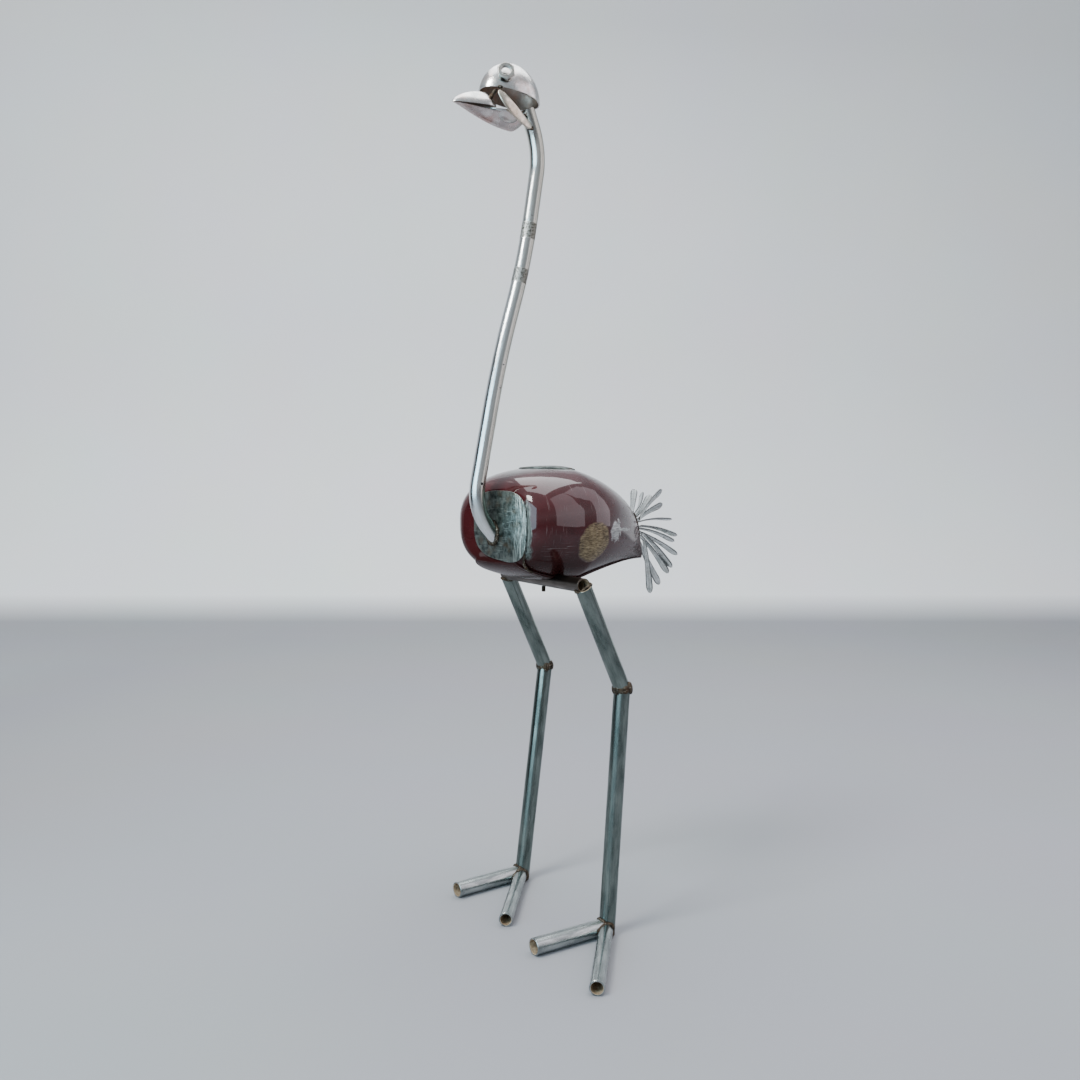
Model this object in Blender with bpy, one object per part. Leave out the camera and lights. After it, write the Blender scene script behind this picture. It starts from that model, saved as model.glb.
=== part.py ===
"""Ostrich welded up from scrap: steel tubes, a small fuel tank, spoon bowls and spoon handles.

Metres, +Z up. The bird faces -Y, and its left side is +X. Places are worked out from a point on
the floor under its hips, and the finished bird is then centred on its own footprint.
"""
import math

import bmesh
import bpy
from mathutils import Matrix, Vector

# Gap left where two pieces are welded face to face, and how far a cutter runs past what it cuts
WELD_GAP = 0.0003
CUTTER_EXTRA = 0.004

# Tube stock
LEG_TUBE = 0.0222
SIDE_TOE_TUBE = 0.019
NECK_TUBE = 0.0205
HIP_TUBE = 0.019
LEG_WALL = 0.0018
TOE_WALL = 0.0020
NECK_WALL = 0.0016
HIP_WALL = 0.0018
TUBE_SIDES = 20

# Hip tube: the height of the middle of its axis, and how much higher its left end is than its right
HIP_HEIGHT = 0.4683
HIP_SLANT = 0.0028
HIP_OVERHANG = 0.0038

# Legs: each hangs from the hip tube, bends back at the knee and comes forward to the heel
THIGH_TOP_DROP = 0.0040
LEFT_LEG_X = 0.1151
LEFT_HIP_Y = -0.0404
LEFT_KNEE_Y = 0.0365
LEFT_KNEE_HEIGHT = 0.3270
LEFT_HEEL_Y = 0.0078
RIGHT_LEG_X = -0.1067
RIGHT_HIP_Y = 0.0315
RIGHT_KNEE_Y = 0.1095
RIGHT_KNEE_HEIGHT = 0.3205
RIGHT_HEEL_Y = 0.0599

# Toes, measured from the heel's centre; a turn is from straight ahead towards the left
FORWARD_TOE_LENGTH = 0.116
SIDE_TOE_LENGTH = 0.173
LEFT_TOE_TURN = math.radians(-10.5)
RIGHT_TOE_TURN = math.radians(-6.6)
LEFT_TOE_SPREAD = math.radians(49.3)
RIGHT_TOE_SPREAD = math.radians(46.5)

# Bolt end under the hip tube
STUB_DIAMETER = 0.006
STUB_LENGTH = 0.0075
STUB_OFFSET = 0.005

# Fuel tank: blunt in front, drawn out to a narrow upright edge behind; rises are from the hip tube's axis
TANK_FRONT_Y = -0.0885
TANK_LENGTH = 0.2830
TANK_HALF_WIDTH = 0.0920
TANK_FRONT_HALF_WIDTH = 0.0568
TANK_REAR_HALF_WIDTH = 0.0080
TANK_TOP_RISE = 0.1530
TANK_FRONT_TOP_RISE = 0.1128
TANK_REAR_TOP_RISE = 0.0823
TANK_BOTTOM_RISE = -0.0037
TANK_FRONT_BOTTOM_RISE = 0.0278
TANK_REAR_BOTTOM_RISE = 0.0169
TANK_MIDDLE_LIFT = 0.0034
TANK_TAIL_RAKE = 0.30
SEAM_LIP_WIDTH = 0.0030
SEAM_LIP_HEIGHT = 0.0032
SEAM_ANGLE = math.radians(-62.9)

# Where along its length the tank is widest, highest and lowest, and how full its curves are
TANK_WIDEST = 0.325
TANK_HIGHEST = 0.368
TANK_LOWEST = 0.364
TANK_SQUARENESS = 2.50
WIDTH_BLUNTNESS = 3.06
WIDTH_SHARPNESS = 1.82
TOP_BLUNTNESS = 2.33
TOP_SHARPNESS = 1.40
BOTTOM_BLUNTNESS = 1.63
BOTTOM_EASE = 2.15

# Plates welded on the tank
CHEST_PLATE_THICKNESS = 0.0020
CHEST_PLATE_HALF_WIDTH = 0.0512
CHEST_PLATE_OFFSET = 0.0130
CHEST_PLATE_TOP_RISE = 0.1217
CHEST_PLATE_BOTTOM_RISE = 0.0305
CHEST_PLATE_BOTTOM_SLOPE = -0.13
CHEST_PLATE_SQUARENESS = 3.0
FILLER_COVER_RADIUS = 0.039
FILLER_COVER_THICKNESS = 0.0015
FILLER_COVER_Y = 0.009

# Neck: runs and bends in turn; its angles are measured up from straight ahead
NECK_ROOT_ABOVE_HIPS = 0.0657
NECK_ROOT_RISE = math.radians(45.3)
NECK_ROOT_LENGTH = 0.0115
NECK_LOW_BEND_RADIUS = 0.0633
NECK_LOWER_RISE = math.radians(103)
NECK_LOWER_RUN = 0.095
NECK_BACKWARD_BEND_RADIUS = 1.290
NECK_MIDDLE_RISE = math.radians(109.3)
NECK_FORWARD_BEND_RADIUS = 0.872
NECK_UPPER_RISE = math.radians(100.6)
NECK_UPPER_RUN = 0.0545
NECK_TOP_BEND_RADIUS = 0.1013
NECK_TOP_RISE = math.radians(65.6)
NECK_TOP_LENGTH = 0.024

# Head: forward, left and up are measured from a point on the neck's axis, just under the jaw
HEAD_TURN = math.radians(8)
HEAD_BELOW_NECK_TOP = 0.0205
HEAD_BEHIND_NECK_TOP = 0.0058
SPOON_THICKNESS = 0.0015
BOWL_SIDES = 20
BOWL_RINGS = 5

# Spoon bowls: place and tilt of the rim, reach in front of that place and behind it, and depth.
# The two of the bill and the throat lean over to the left together, about one axis
BILL_AXIS_UP = 0.0080
BILL_ROLL = math.radians(-10)

CROWN_FORWARD = 0.0330
CROWN_UP = 0.0288
CROWN_TILT = math.radians(6.5)
CROWN_FRONT = 0.0445
CROWN_BACK = 0.0437
CROWN_HALF_WIDTH = 0.0300
CROWN_DEPTH = 0.0446
CROWN_FULLNESS = 1.1

UPPER_BILL_FORWARD = 0.0760
UPPER_BILL_UP = 0.0028
UPPER_BILL_TILT = math.radians(-2.5)
UPPER_BILL_FRONT = 0.0450
UPPER_BILL_BACK = 0.0175
UPPER_BILL_HALF_WIDTH = 0.0200
UPPER_BILL_DEPTH = 0.0172
UPPER_BILL_FULLNESS = 1.5
UPPER_BILL_POINT = 0.35

THROAT_FORWARD = 0.0385
THROAT_UP = 0.0030
THROAT_TILT = math.radians(-2)
THROAT_FRONT = 0.0310
THROAT_BACK = 0.0220
THROAT_HALF_WIDTH = 0.0210
THROAT_DEPTH = 0.0175
THROAT_FULLNESS = 1.2

LOWER_BILL_FORWARD = 0.0300
LOWER_BILL_UP = -0.0023
LOWER_BILL_TILT = math.radians(1.5)
LOWER_BILL_FRONT = 0.0905
LOWER_BILL_BACK = 0.0220
LOWER_BILL_HALF_WIDTH = 0.0185
LOWER_BILL_DEPTH = 0.0180
LOWER_BILL_FULLNESS = 2.6
LOWER_BILL_POINT = 0.30

# Strap: a bow from the crown's rim, past the jaw, to the neck
STRAP_WIDTH = 0.0145
STRAP_THICKNESS = 0.0022
STRAP_TOP_FORWARD = 0.0630
STRAP_TOP_LEFT = 0.0215
STRAP_TOP_UP = 0.0275
STRAP_MIDDLE_FORWARD = 0.0445
STRAP_MIDDLE_LEFT = 0.0262
STRAP_MIDDLE_UP = 0.0063
STRAP_FOOT_FORWARD = 0.0085
STRAP_FOOT_LEFT = 0.0125
STRAP_FOOT_DOWN = 0.0060

EYE_NUT_ACROSS = 0.0210
EYE_NUT_HOLE = 0.0120
EYE_NUT_THICKNESS = 0.0050
EYE_NUT_HEIGHT = 0.0200
LEFT_EYE_TURN = math.radians(50)
RIGHT_EYE_TURN = math.radians(100)

# Tail: spoon handles from the top one to the bottom one, a tuft swept to the right and then a fan;
# a rise is measured up from straight behind, and a sway towards the bird's left
TAIL_COUNT = 13
TAIL_HANDLE_LENGTH = 0.122
TAIL_MIDDLE_SHORTER = 0.0195
TAIL_LENGTH_WOBBLE = 0.0063
TAIL_HANDLE_ROOT_WIDTH = 0.0055
TAIL_HANDLE_TIP_WIDTH = 0.0125
TAIL_HANDLE_THICKNESS = 0.0020
TAIL_HANDLE_BOW = 0.0036
TUFT_COUNT = 3
TUFT_RISE = math.radians(19.8)
TUFT_RISE_STEP = math.radians(-1.7)
TUFT_SWAY = math.radians(-37.7)
TUFT_SWAY_STEP = math.radians(4.45)
FAN_TOP_RISE = math.radians(26.8)
FAN_BOTTOM_RISE = math.radians(-49.8)
FAN_CROWDING = 0.71
FAN_RISE_WOBBLE = math.radians(3.0)
FAN_EDGE_SWAY = math.radians(-20.4)
FAN_MIDDLE_SWAY = math.radians(-3.9)
FAN_SWAY_WOBBLE = math.radians(2.2)
TAIL_ROOT_CROWDING = 1.05
TAIL_ROOT_TOP_RISE = 0.0865
TAIL_ROOT_BOTTOM_RISE = 0.0437
TAIL_LAYER = 0.0061
TUFT_LAYER = 0.0030
TUFT_ROLL = math.radians(-74)
FAN_ROLL = math.radians(72)
TAIL_ROLL_WOBBLE = math.radians(2)
TAIL_TURNED_ROLL = math.radians(-55)
TAIL_TURNED = (2, 4, 5, 12)
TAIL_WELD_DEPTH = 0.0065
TAIL_WELD_HALF_WIDTH = 0.0090


def clear_scene():
    """Remove what the scene holds."""
    for item in list(bpy.data.objects):
        bpy.data.objects.remove(item, do_unlink=True)


def make_material(name, colour, metallic, roughness):
    """A plain surface colour for one kind of metal."""
    material = bpy.data.materials.new(name)
    material.use_nodes = True
    shader = material.node_tree.nodes["Principled BSDF"]
    shader.inputs["Base Color"].default_value = (*colour, 1.0)
    shader.inputs["Metallic"].default_value = metallic
    shader.inputs["Roughness"].default_value = roughness
    return material


def add_object(name, vertices, faces, material):
    """A closed mesh object with its faces turned outwards, smooth apart from its sharp edges."""
    mesh = bpy.data.meshes.new(name)
    mesh.from_pydata([tuple(point) for point in vertices], [], faces)
    shape = bmesh.new()
    shape.from_mesh(mesh)
    bmesh.ops.recalc_face_normals(shape, faces=shape.faces[:])
    shape.to_mesh(mesh)
    shape.free()
    mesh.shade_smooth()
    mesh.set_sharp_from_angle(angle=math.radians(38))
    mesh.materials.append(material)
    item = bpy.data.objects.new(name, mesh)
    bpy.context.scene.collection.objects.link(item)
    return item


def join_rings(rings, closed_run=False):
    """Faces between rings of the same length, numbered one ring after the other."""
    count = len(rings[0])
    faces = []
    pairs = len(rings) if closed_run else len(rings) - 1
    for ring in range(pairs):
        here = ring * count
        there = (ring + 1) % len(rings) * count
        for side in range(count):
            following = (side + 1) % count
            faces.append((here + side, here + following, there + following, there + side))
    return [point for ring in rings for point in ring], faces


def across(direction):
    """Two unit vectors square to a direction and to each other."""
    helper = Vector((1, 0, 0)) if abs(direction.x) < 0.9 else Vector((0, 1, 0))
    first = direction.cross(helper).normalized()
    return first, direction.cross(first).normalized()


def sawn_ring(centre, direction, radius, plane_point, plane_normal, sides=TUBE_SIDES):
    """The ring where a tube's surface meets the plane that its end is sawn along."""
    first, second = across(direction)
    ring = []
    for side in range(sides):
        angle = math.tau * side / sides
        start = centre + radius * (math.cos(angle) * first + math.sin(angle) * second)
        reach = (plane_point - start).dot(plane_normal) / direction.dot(plane_normal)
        ring.append(start + reach * direction)
    return ring


def straight_tube(name, start, end, diameter, wall, material, start_normal=None, end_normal=None):
    """An open tube; each end is square, or sawn along a plane through its end point."""
    direction = (end - start).normalized()
    start_normal = start_normal or direction
    end_normal = end_normal or direction
    outer = diameter / 2
    inner = outer - wall
    rings = [
        sawn_ring(start, direction, outer, start, start_normal),
        sawn_ring(end, direction, outer, end, end_normal),
        sawn_ring(end, direction, inner, end, end_normal),
        sawn_ring(start, direction, inner, start, start_normal),
    ]
    vertices, faces = join_rings(rings, closed_run=True)
    return add_object(name, vertices, faces, material)


def add_cutter(name, start, end, radius, sides=40):
    """A round cutter that isn't part of the bird."""
    direction = (end - start).normalized()
    rings = [sawn_ring(point, direction, radius, point, direction, sides) for point in (start, end)]
    vertices, faces = join_rings(rings)
    faces.append(tuple(range(sides)))
    faces.append(tuple(range(sides, 2 * sides)))
    cutter = add_object(name, vertices, faces, bpy.data.materials["cutter"])
    cutter.hide_render = True
    cutter.display_type = "WIRE"
    return cutter


def cut_away(item, cutter):
    """Cut a piece to fit against its neighbour."""
    boolean = item.modifiers.new("fit to " + cutter.name, "BOOLEAN")
    boolean.operation = "DIFFERENCE"
    boolean.solver = "EXACT"
    boolean.object = cutter


def front_share(along, turning, bluntness):
    """How far a measure has grown from the tank's front to the place where it turns."""
    return (1 - (1 - along / turning) ** bluntness) ** (1 / bluntness)


def tank_profile(along, turning, front, middle, rear, bluntness, sharpness):
    """A measure that grows quickly from the front to its greatest, then eases off to the rear."""
    if along < turning:
        return front + (middle - front) * front_share(along, turning, bluntness)
    share = 1 - ((along - turning) / (1 - turning)) ** sharpness
    return rear + (middle - rear) * share


def tank_bottom(along):
    """The tank's underside: deepest under the hips, and rising gently to the rear."""
    if along < TANK_LOWEST:
        share = front_share(along, TANK_LOWEST, BOTTOM_BLUNTNESS)
        rise = TANK_FRONT_BOTTOM_RISE + (TANK_BOTTOM_RISE - TANK_FRONT_BOTTOM_RISE) * share
    else:
        share = ((1 - along) / (1 - TANK_LOWEST)) ** BOTTOM_EASE
        rise = TANK_REAR_BOTTOM_RISE + (TANK_BOTTOM_RISE - TANK_REAR_BOTTOM_RISE) * share
    return HIP_HEIGHT + rise


def tank_measures(along):
    """Half width, top, bottom and widest height of the tank at a share of its length."""
    half_width = tank_profile(
        along, TANK_WIDEST, TANK_FRONT_HALF_WIDTH, TANK_HALF_WIDTH, TANK_REAR_HALF_WIDTH,
        WIDTH_BLUNTNESS, WIDTH_SHARPNESS)
    top = HIP_HEIGHT + tank_profile(
        along, TANK_HIGHEST, TANK_FRONT_TOP_RISE, TANK_TOP_RISE, TANK_REAR_TOP_RISE,
        TOP_BLUNTNESS, TOP_SHARPNESS)
    bottom = tank_bottom(along)
    middle = (top + bottom) / 2 + TANK_MIDDLE_LIFT
    return half_width, top, bottom, middle


def skin_point(angle, half_width, top, bottom, middle, squareness=TANK_SQUARENESS):
    """A point of the tank's skin in its cross-section, by the angle round from its left side."""
    power = 2 / squareness
    side = math.copysign(abs(math.cos(angle)) ** power, math.cos(angle))
    rise = math.copysign(abs(math.sin(angle)) ** power, math.sin(angle))
    reach = top - middle if rise > 0 else middle - bottom
    return half_width * side, middle + reach * rise


def tank_section(along, upper_steps=22, lower_steps=6):
    """One closed cross-section: the upper shell, the seam lip on each side and the base pan."""
    half_width, top, bottom, middle = tank_measures(along)
    start = SEAM_ANGLE
    stop = math.pi - SEAM_ANGLE
    outline = []
    for step in range(upper_steps + 1):
        angle = start + (stop - start) * step / upper_steps
        outline.append(skin_point(angle, half_width, top, bottom, middle))
    left_x, lip_z = outline[0]
    lip = SEAM_LIP_WIDTH * half_width / TANK_HALF_WIDTH
    drop = SEAM_LIP_HEIGHT * half_width / TANK_HALF_WIDTH
    outline.append((-left_x - lip, lip_z))
    outline.append((-left_x - lip, lip_z - drop))
    pan_half_width, pan_z = left_x - 0.4 * lip, lip_z - drop
    outline.append((-pan_half_width, pan_z))
    pan_depth = max(pan_z - bottom, 0.1 * drop)
    for step in range(1, lower_steps):
        share = -math.cos(math.pi * step / lower_steps)
        outline.append((pan_half_width * share, pan_z - pan_depth * (1 - share ** 2) ** 0.6))
    outline.append((pan_half_width, pan_z))
    outline.append((left_x + lip, lip_z - drop))
    outline.append((left_x + lip, lip_z))
    y = TANK_FRONT_Y + TANK_LENGTH * along
    rake = TANK_TAIL_RAKE * along ** 6
    return [Vector((x, y + rake * (middle - z), z)) for x, z in outline]


def tank_top_at(x, y):
    """Height of the tank's upper skin over a point."""
    half_width, top, bottom, middle = tank_measures((y - TANK_FRONT_Y) / TANK_LENGTH)
    share = (1 - abs(x / half_width) ** TANK_SQUARENESS) ** (1 / TANK_SQUARENESS)
    return middle + (top - middle) * share


def make_tank(material, hip_cutter, stations=22):
    """The fuel tank, with a seat for the hip tube in its underside."""
    rings = [tank_section((1 - math.cos(math.pi * step / stations)) / 2) for step in range(stations + 1)]
    vertices, faces = join_rings(rings)
    count = len(rings[0])
    faces.append(tuple(range(count)))
    faces.append(tuple(range(count * stations, count * (stations + 1))))
    tank = add_object("tank_body", vertices, faces, material)
    cut_away(tank, hip_cutter)
    return tank


def make_chest_plate(material, sides=36):
    """The flat plate over the tank's blunt front, set to the left, with a slanting lower edge."""
    top = HIP_HEIGHT + CHEST_PLATE_TOP_RISE
    bottom = HIP_HEIGHT + CHEST_PLATE_BOTTOM_RISE
    middle = (top + bottom) / 2
    back = TANK_FRONT_Y - WELD_GAP
    rings = []
    for y in (back, back - CHEST_PLATE_THICKNESS):
        ring = []
        for step in range(sides):
            x, z = skin_point(
                math.tau * (step + 0.5) / sides, CHEST_PLATE_HALF_WIDTH, top, bottom, middle,
                CHEST_PLATE_SQUARENESS)
            slant = CHEST_PLATE_BOTTOM_SLOPE * x * max(0, middle - z) / (middle - bottom)
            ring.append(Vector((CHEST_PLATE_OFFSET + x, y, z + slant)))
        rings.append(ring)
    vertices, faces = join_rings(rings)
    faces.append(tuple(range(sides)))
    faces.append(tuple(range(sides, 2 * sides)))
    return add_object("chest_plate", vertices, faces, material)


def make_filler_cover(material, sides=24, circles=3):
    """The thin round cover that follows the top of the tank where the filler was."""
    layers = []
    for lift in (WELD_GAP, WELD_GAP + FILLER_COVER_THICKNESS):
        layer = [Vector((0, FILLER_COVER_Y, tank_top_at(0, FILLER_COVER_Y) + lift))]
        for circle in range(1, circles + 1):
            radius = FILLER_COVER_RADIUS * circle / circles
            for side in range(sides):
                angle = math.tau * side / sides
                x = radius * math.cos(angle)
                y = FILLER_COVER_Y + radius * math.sin(angle)
                layer.append(Vector((x, y, tank_top_at(x, y) + lift)))
        layers.append(layer)
    size = len(layers[0])
    faces = []
    for base in (0, size):
        for side in range(sides):
            following = (side + 1) % sides
            faces.append((base, base + 1 + side, base + 1 + following))
            for circle in range(circles - 1):
                inner = base + 1 + circle * sides
                outer = inner + sides
                faces.append((inner + side, outer + side, outer + following, inner + following))
    rim = 1 + (circles - 1) * sides
    for side in range(sides):
        following = (side + 1) % sides
        faces.append((rim + side, rim + following, size + rim + following, size + rim + side))
    return add_object("filler_cover", layers[0] + layers[1], faces, material)


def neck_path():
    """Points and directions along the neck's axis, from the chest plate to the head."""
    root_y = TANK_FRONT_Y - CHEST_PLATE_THICKNESS - 2 * WELD_GAP
    point = Vector((0, root_y, HIP_HEIGHT + NECK_ROOT_ABOVE_HIPS))
    rise = NECK_ROOT_RISE
    path = [(point.copy(), Vector((0, -math.cos(rise), math.sin(rise))))]

    def run(length):
        nonlocal point
        direction = Vector((0, -math.cos(rise), math.sin(rise)))
        point = point + length * direction
        path.append((point.copy(), direction))

    def bend(radius, new_rise, steps):
        nonlocal point, rise
        old_rise = rise
        start = point.copy()
        turn = 1 if new_rise > old_rise else -1
        for step in range(1, steps + 1):
            rise = old_rise + (new_rise - old_rise) * step / steps
            y = -turn * radius * (math.sin(rise) - math.sin(old_rise))
            z = turn * radius * (math.cos(old_rise) - math.cos(rise))
            point = start + Vector((0, y, z))
            path.append((point.copy(), Vector((0, -math.cos(rise), math.sin(rise)))))

    run(NECK_ROOT_LENGTH)
    bend(NECK_LOW_BEND_RADIUS, NECK_LOWER_RISE, 8)
    run(NECK_LOWER_RUN)
    bend(NECK_BACKWARD_BEND_RADIUS, NECK_MIDDLE_RISE, 2)
    bend(NECK_FORWARD_BEND_RADIUS, NECK_UPPER_RISE, 2)
    run(NECK_UPPER_RUN)
    bend(NECK_TOP_BEND_RADIUS, NECK_TOP_RISE, 6)
    run(NECK_TOP_LENGTH)
    return path


def path_rings(path, radius, sawn_root):
    """Rings of one radius along the neck's axis; a sawn root lies flat against the chest plate."""
    side_vector = Vector((1, 0, 0))
    rings = []
    for index, (centre, direction) in enumerate(path):
        other = direction.cross(side_vector)
        ring = []
        for side in range(TUBE_SIDES):
            angle = math.tau * side / TUBE_SIDES
            point = centre + radius * (math.cos(angle) * side_vector + math.sin(angle) * other)
            if index == 0 and sawn_root:
                point = point + (centre.y - point.y) / direction.y * direction
            ring.append(point)
        rings.append(ring)
    return rings


def make_neck(path, material):
    """The bent tube."""
    outer_rings = path_rings(path, NECK_TUBE / 2, True)
    inner_rings = path_rings(path, NECK_TUBE / 2 - NECK_WALL, True)
    vertices, faces = join_rings(outer_rings + inner_rings[::-1], closed_run=True)
    return add_object("neck_tube", vertices, faces, material)


def make_neck_cutter(path):
    """The neck's outside, a weld gap larger, to fit the jaw against."""
    vertices, faces = join_rings(path_rings(path, NECK_TUBE / 2 + 2 * WELD_GAP, False))
    faces.append(tuple(range(TUBE_SIDES)))
    faces.append(tuple(range(len(vertices) - TUBE_SIDES, len(vertices))))
    cutter = add_object("neck_cutter", vertices, faces, bpy.data.materials["cutter"])
    cutter.hide_render = True
    cutter.display_type = "WIRE"
    return cutter


def make_leg(side, hip, knee, heel, toe_turn, toe_spread, hip_cutter, material):
    """Thigh, shin and two toes of one leg; the thigh's top is notched to sit against the hip tube."""
    thigh_way = (knee - hip).normalized()
    shin_way = (heel - knee).normalized()
    mitre = (thigh_way + shin_way).normalized()
    half_gap = WELD_GAP / 2 * mitre
    up = Vector((0, 0, 1))
    thigh = straight_tube(
        side + "_thigh", hip + THIGH_TOP_DROP * thigh_way, knee - half_gap, LEG_TUBE, LEG_WALL, material,
        None, mitre)
    cut_away(thigh, hip_cutter)
    straight_tube(side + "_shin", knee + half_gap, heel, LEG_TUBE, LEG_WALL, material, mitre, up)
    shin_cutter = add_cutter(
        side + "_shin_cutter", heel + LEG_TUBE * shin_way, heel - 3 * LEG_TUBE * shin_way,
        LEG_TUBE / 2 + WELD_GAP)
    toe_cutter = None
    for kind, turn, length, diameter in (
            ("forward", toe_turn, FORWARD_TOE_LENGTH, LEG_TUBE),
            ("side", toe_turn + toe_spread, SIDE_TOE_LENGTH, SIDE_TOE_TUBE)):
        start = heel + diameter / 2 * up
        way = Vector((math.sin(turn), -math.cos(turn), 0))
        toe = straight_tube(
            side + "_" + kind + "_toe", start, start + length * way, diameter, TOE_WALL, material)
        cut_away(toe, shin_cutter)
        if toe_cutter:
            cut_away(toe, toe_cutter)
        else:
            toe_cutter = add_cutter(
                side + "_toe_cutter", start - LEG_TUBE * way, start + length / 2 * way,
                diameter / 2 + WELD_GAP)


def make_hips(left_hip, right_hip, material):
    """The hip tube and the bolt end under it."""
    way = (left_hip - right_hip).normalized()
    straight_tube(
        "hip_tube", right_hip - HIP_OVERHANG * way, left_hip + HIP_OVERHANG * way, HIP_TUBE, HIP_WALL,
        material)
    middle = (left_hip + right_hip) / 2 + STUB_OFFSET * way
    down = Vector((0, 0, -1))
    top = middle + (HIP_TUBE / 2 + WELD_GAP) * down
    rings = []
    for drop in (0, STUB_LENGTH):
        centre = top + drop * down
        rings.append(sawn_ring(centre, down, STUB_DIAMETER / 2, centre, down, 12))
    vertices, faces = join_rings(rings)
    faces.append(tuple(range(12)))
    faces.append(tuple(range(12, 24)))
    add_object("bolt_stub", vertices, faces, material)


def bowl_points(sizes, fullness, point_share, side_count, ring_count):
    """One skin of a spoon bowl with its rim in the level plane: the deepest point, then rings out."""
    front, back, half_width, depth = sizes
    skin = [Vector((0, 0, depth))]
    for ring in range(1, ring_count + 1):
        slope = math.pi / 2 * ring / ring_count
        share = math.sin(slope)
        height = depth * max(math.cos(slope), 0) ** fullness if ring < ring_count else 0
        for side in range(side_count):
            angle = math.tau * side / side_count
            reach = front if math.cos(angle) > 0 else back
            narrowing = 1 - point_share * max(0, math.cos(angle))
            skin.append(Vector((
                share * reach * math.cos(angle), share * half_width * math.sin(angle) * narrowing,
                height)))
    return skin


def skin_faces(base, side_count, ring_count):
    """Faces of one skin of a bowl: triangles round its deepest point, then rings of four-sided ones."""
    faces = []
    for side in range(side_count):
        following = (side + 1) % side_count
        faces.append((base, base + 1 + side, base + 1 + following))
        for ring in range(ring_count - 1):
            inner = base + 1 + ring * side_count
            outer = inner + side_count
            faces.append((inner + side, outer + side, outer + following, inner + following))
    return faces


def make_bowl(name, placing, sizes, fullness, point_share, opens_down, material):
    """A spoon bowl of even thickness, set in the head by its placing."""
    vertices = bowl_points(sizes, fullness, point_share, BOWL_SIDES, BOWL_RINGS)
    size = len(vertices)
    inner_sizes = [measure - SPOON_THICKNESS for measure in sizes]
    vertices += bowl_points(inner_sizes, fullness, point_share, BOWL_SIDES, BOWL_RINGS)
    faces = skin_faces(0, BOWL_SIDES, BOWL_RINGS) + skin_faces(size, BOWL_SIDES, BOWL_RINGS)
    rim = 1 + (BOWL_RINGS - 1) * BOWL_SIDES
    for side in range(BOWL_SIDES):
        following = (side + 1) % BOWL_SIDES
        faces.append((rim + side, rim + following, size + rim + following, size + rim + side))
    flip = Matrix.Identity(4) if opens_down else Matrix.Diagonal((1, 1, -1, 1))
    return add_object(name, [placing @ flip @ point for point in vertices], faces, material)


def make_throat_cutter(placing, sizes):
    """The outside of the throat bowl with its mouth closed, a weld gap larger all round."""
    larger = [measure + WELD_GAP for measure in sizes]
    skin = bowl_points(larger, THROAT_FULLNESS, 0.0, 2 * BOWL_SIDES, 2 * BOWL_RINGS)
    faces = skin_faces(0, 2 * BOWL_SIDES, 2 * BOWL_RINGS)
    faces.append(tuple(range(len(skin) - 2 * BOWL_SIDES, len(skin))))
    raised = Matrix.Translation((0, 0, CUTTER_EXTRA)) @ Matrix.Diagonal((1, 1, -1, 1))
    points = []
    for point in skin:
        if point.z > 1e-9:
            point = point + Vector((0, 0, CUTTER_EXTRA))
        points.append(placing @ raised @ point)
    cutter = add_object("throat_cutter", points, faces, bpy.data.materials["cutter"])
    cutter.hide_render = True
    cutter.display_type = "WIRE"
    return cutter


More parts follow.
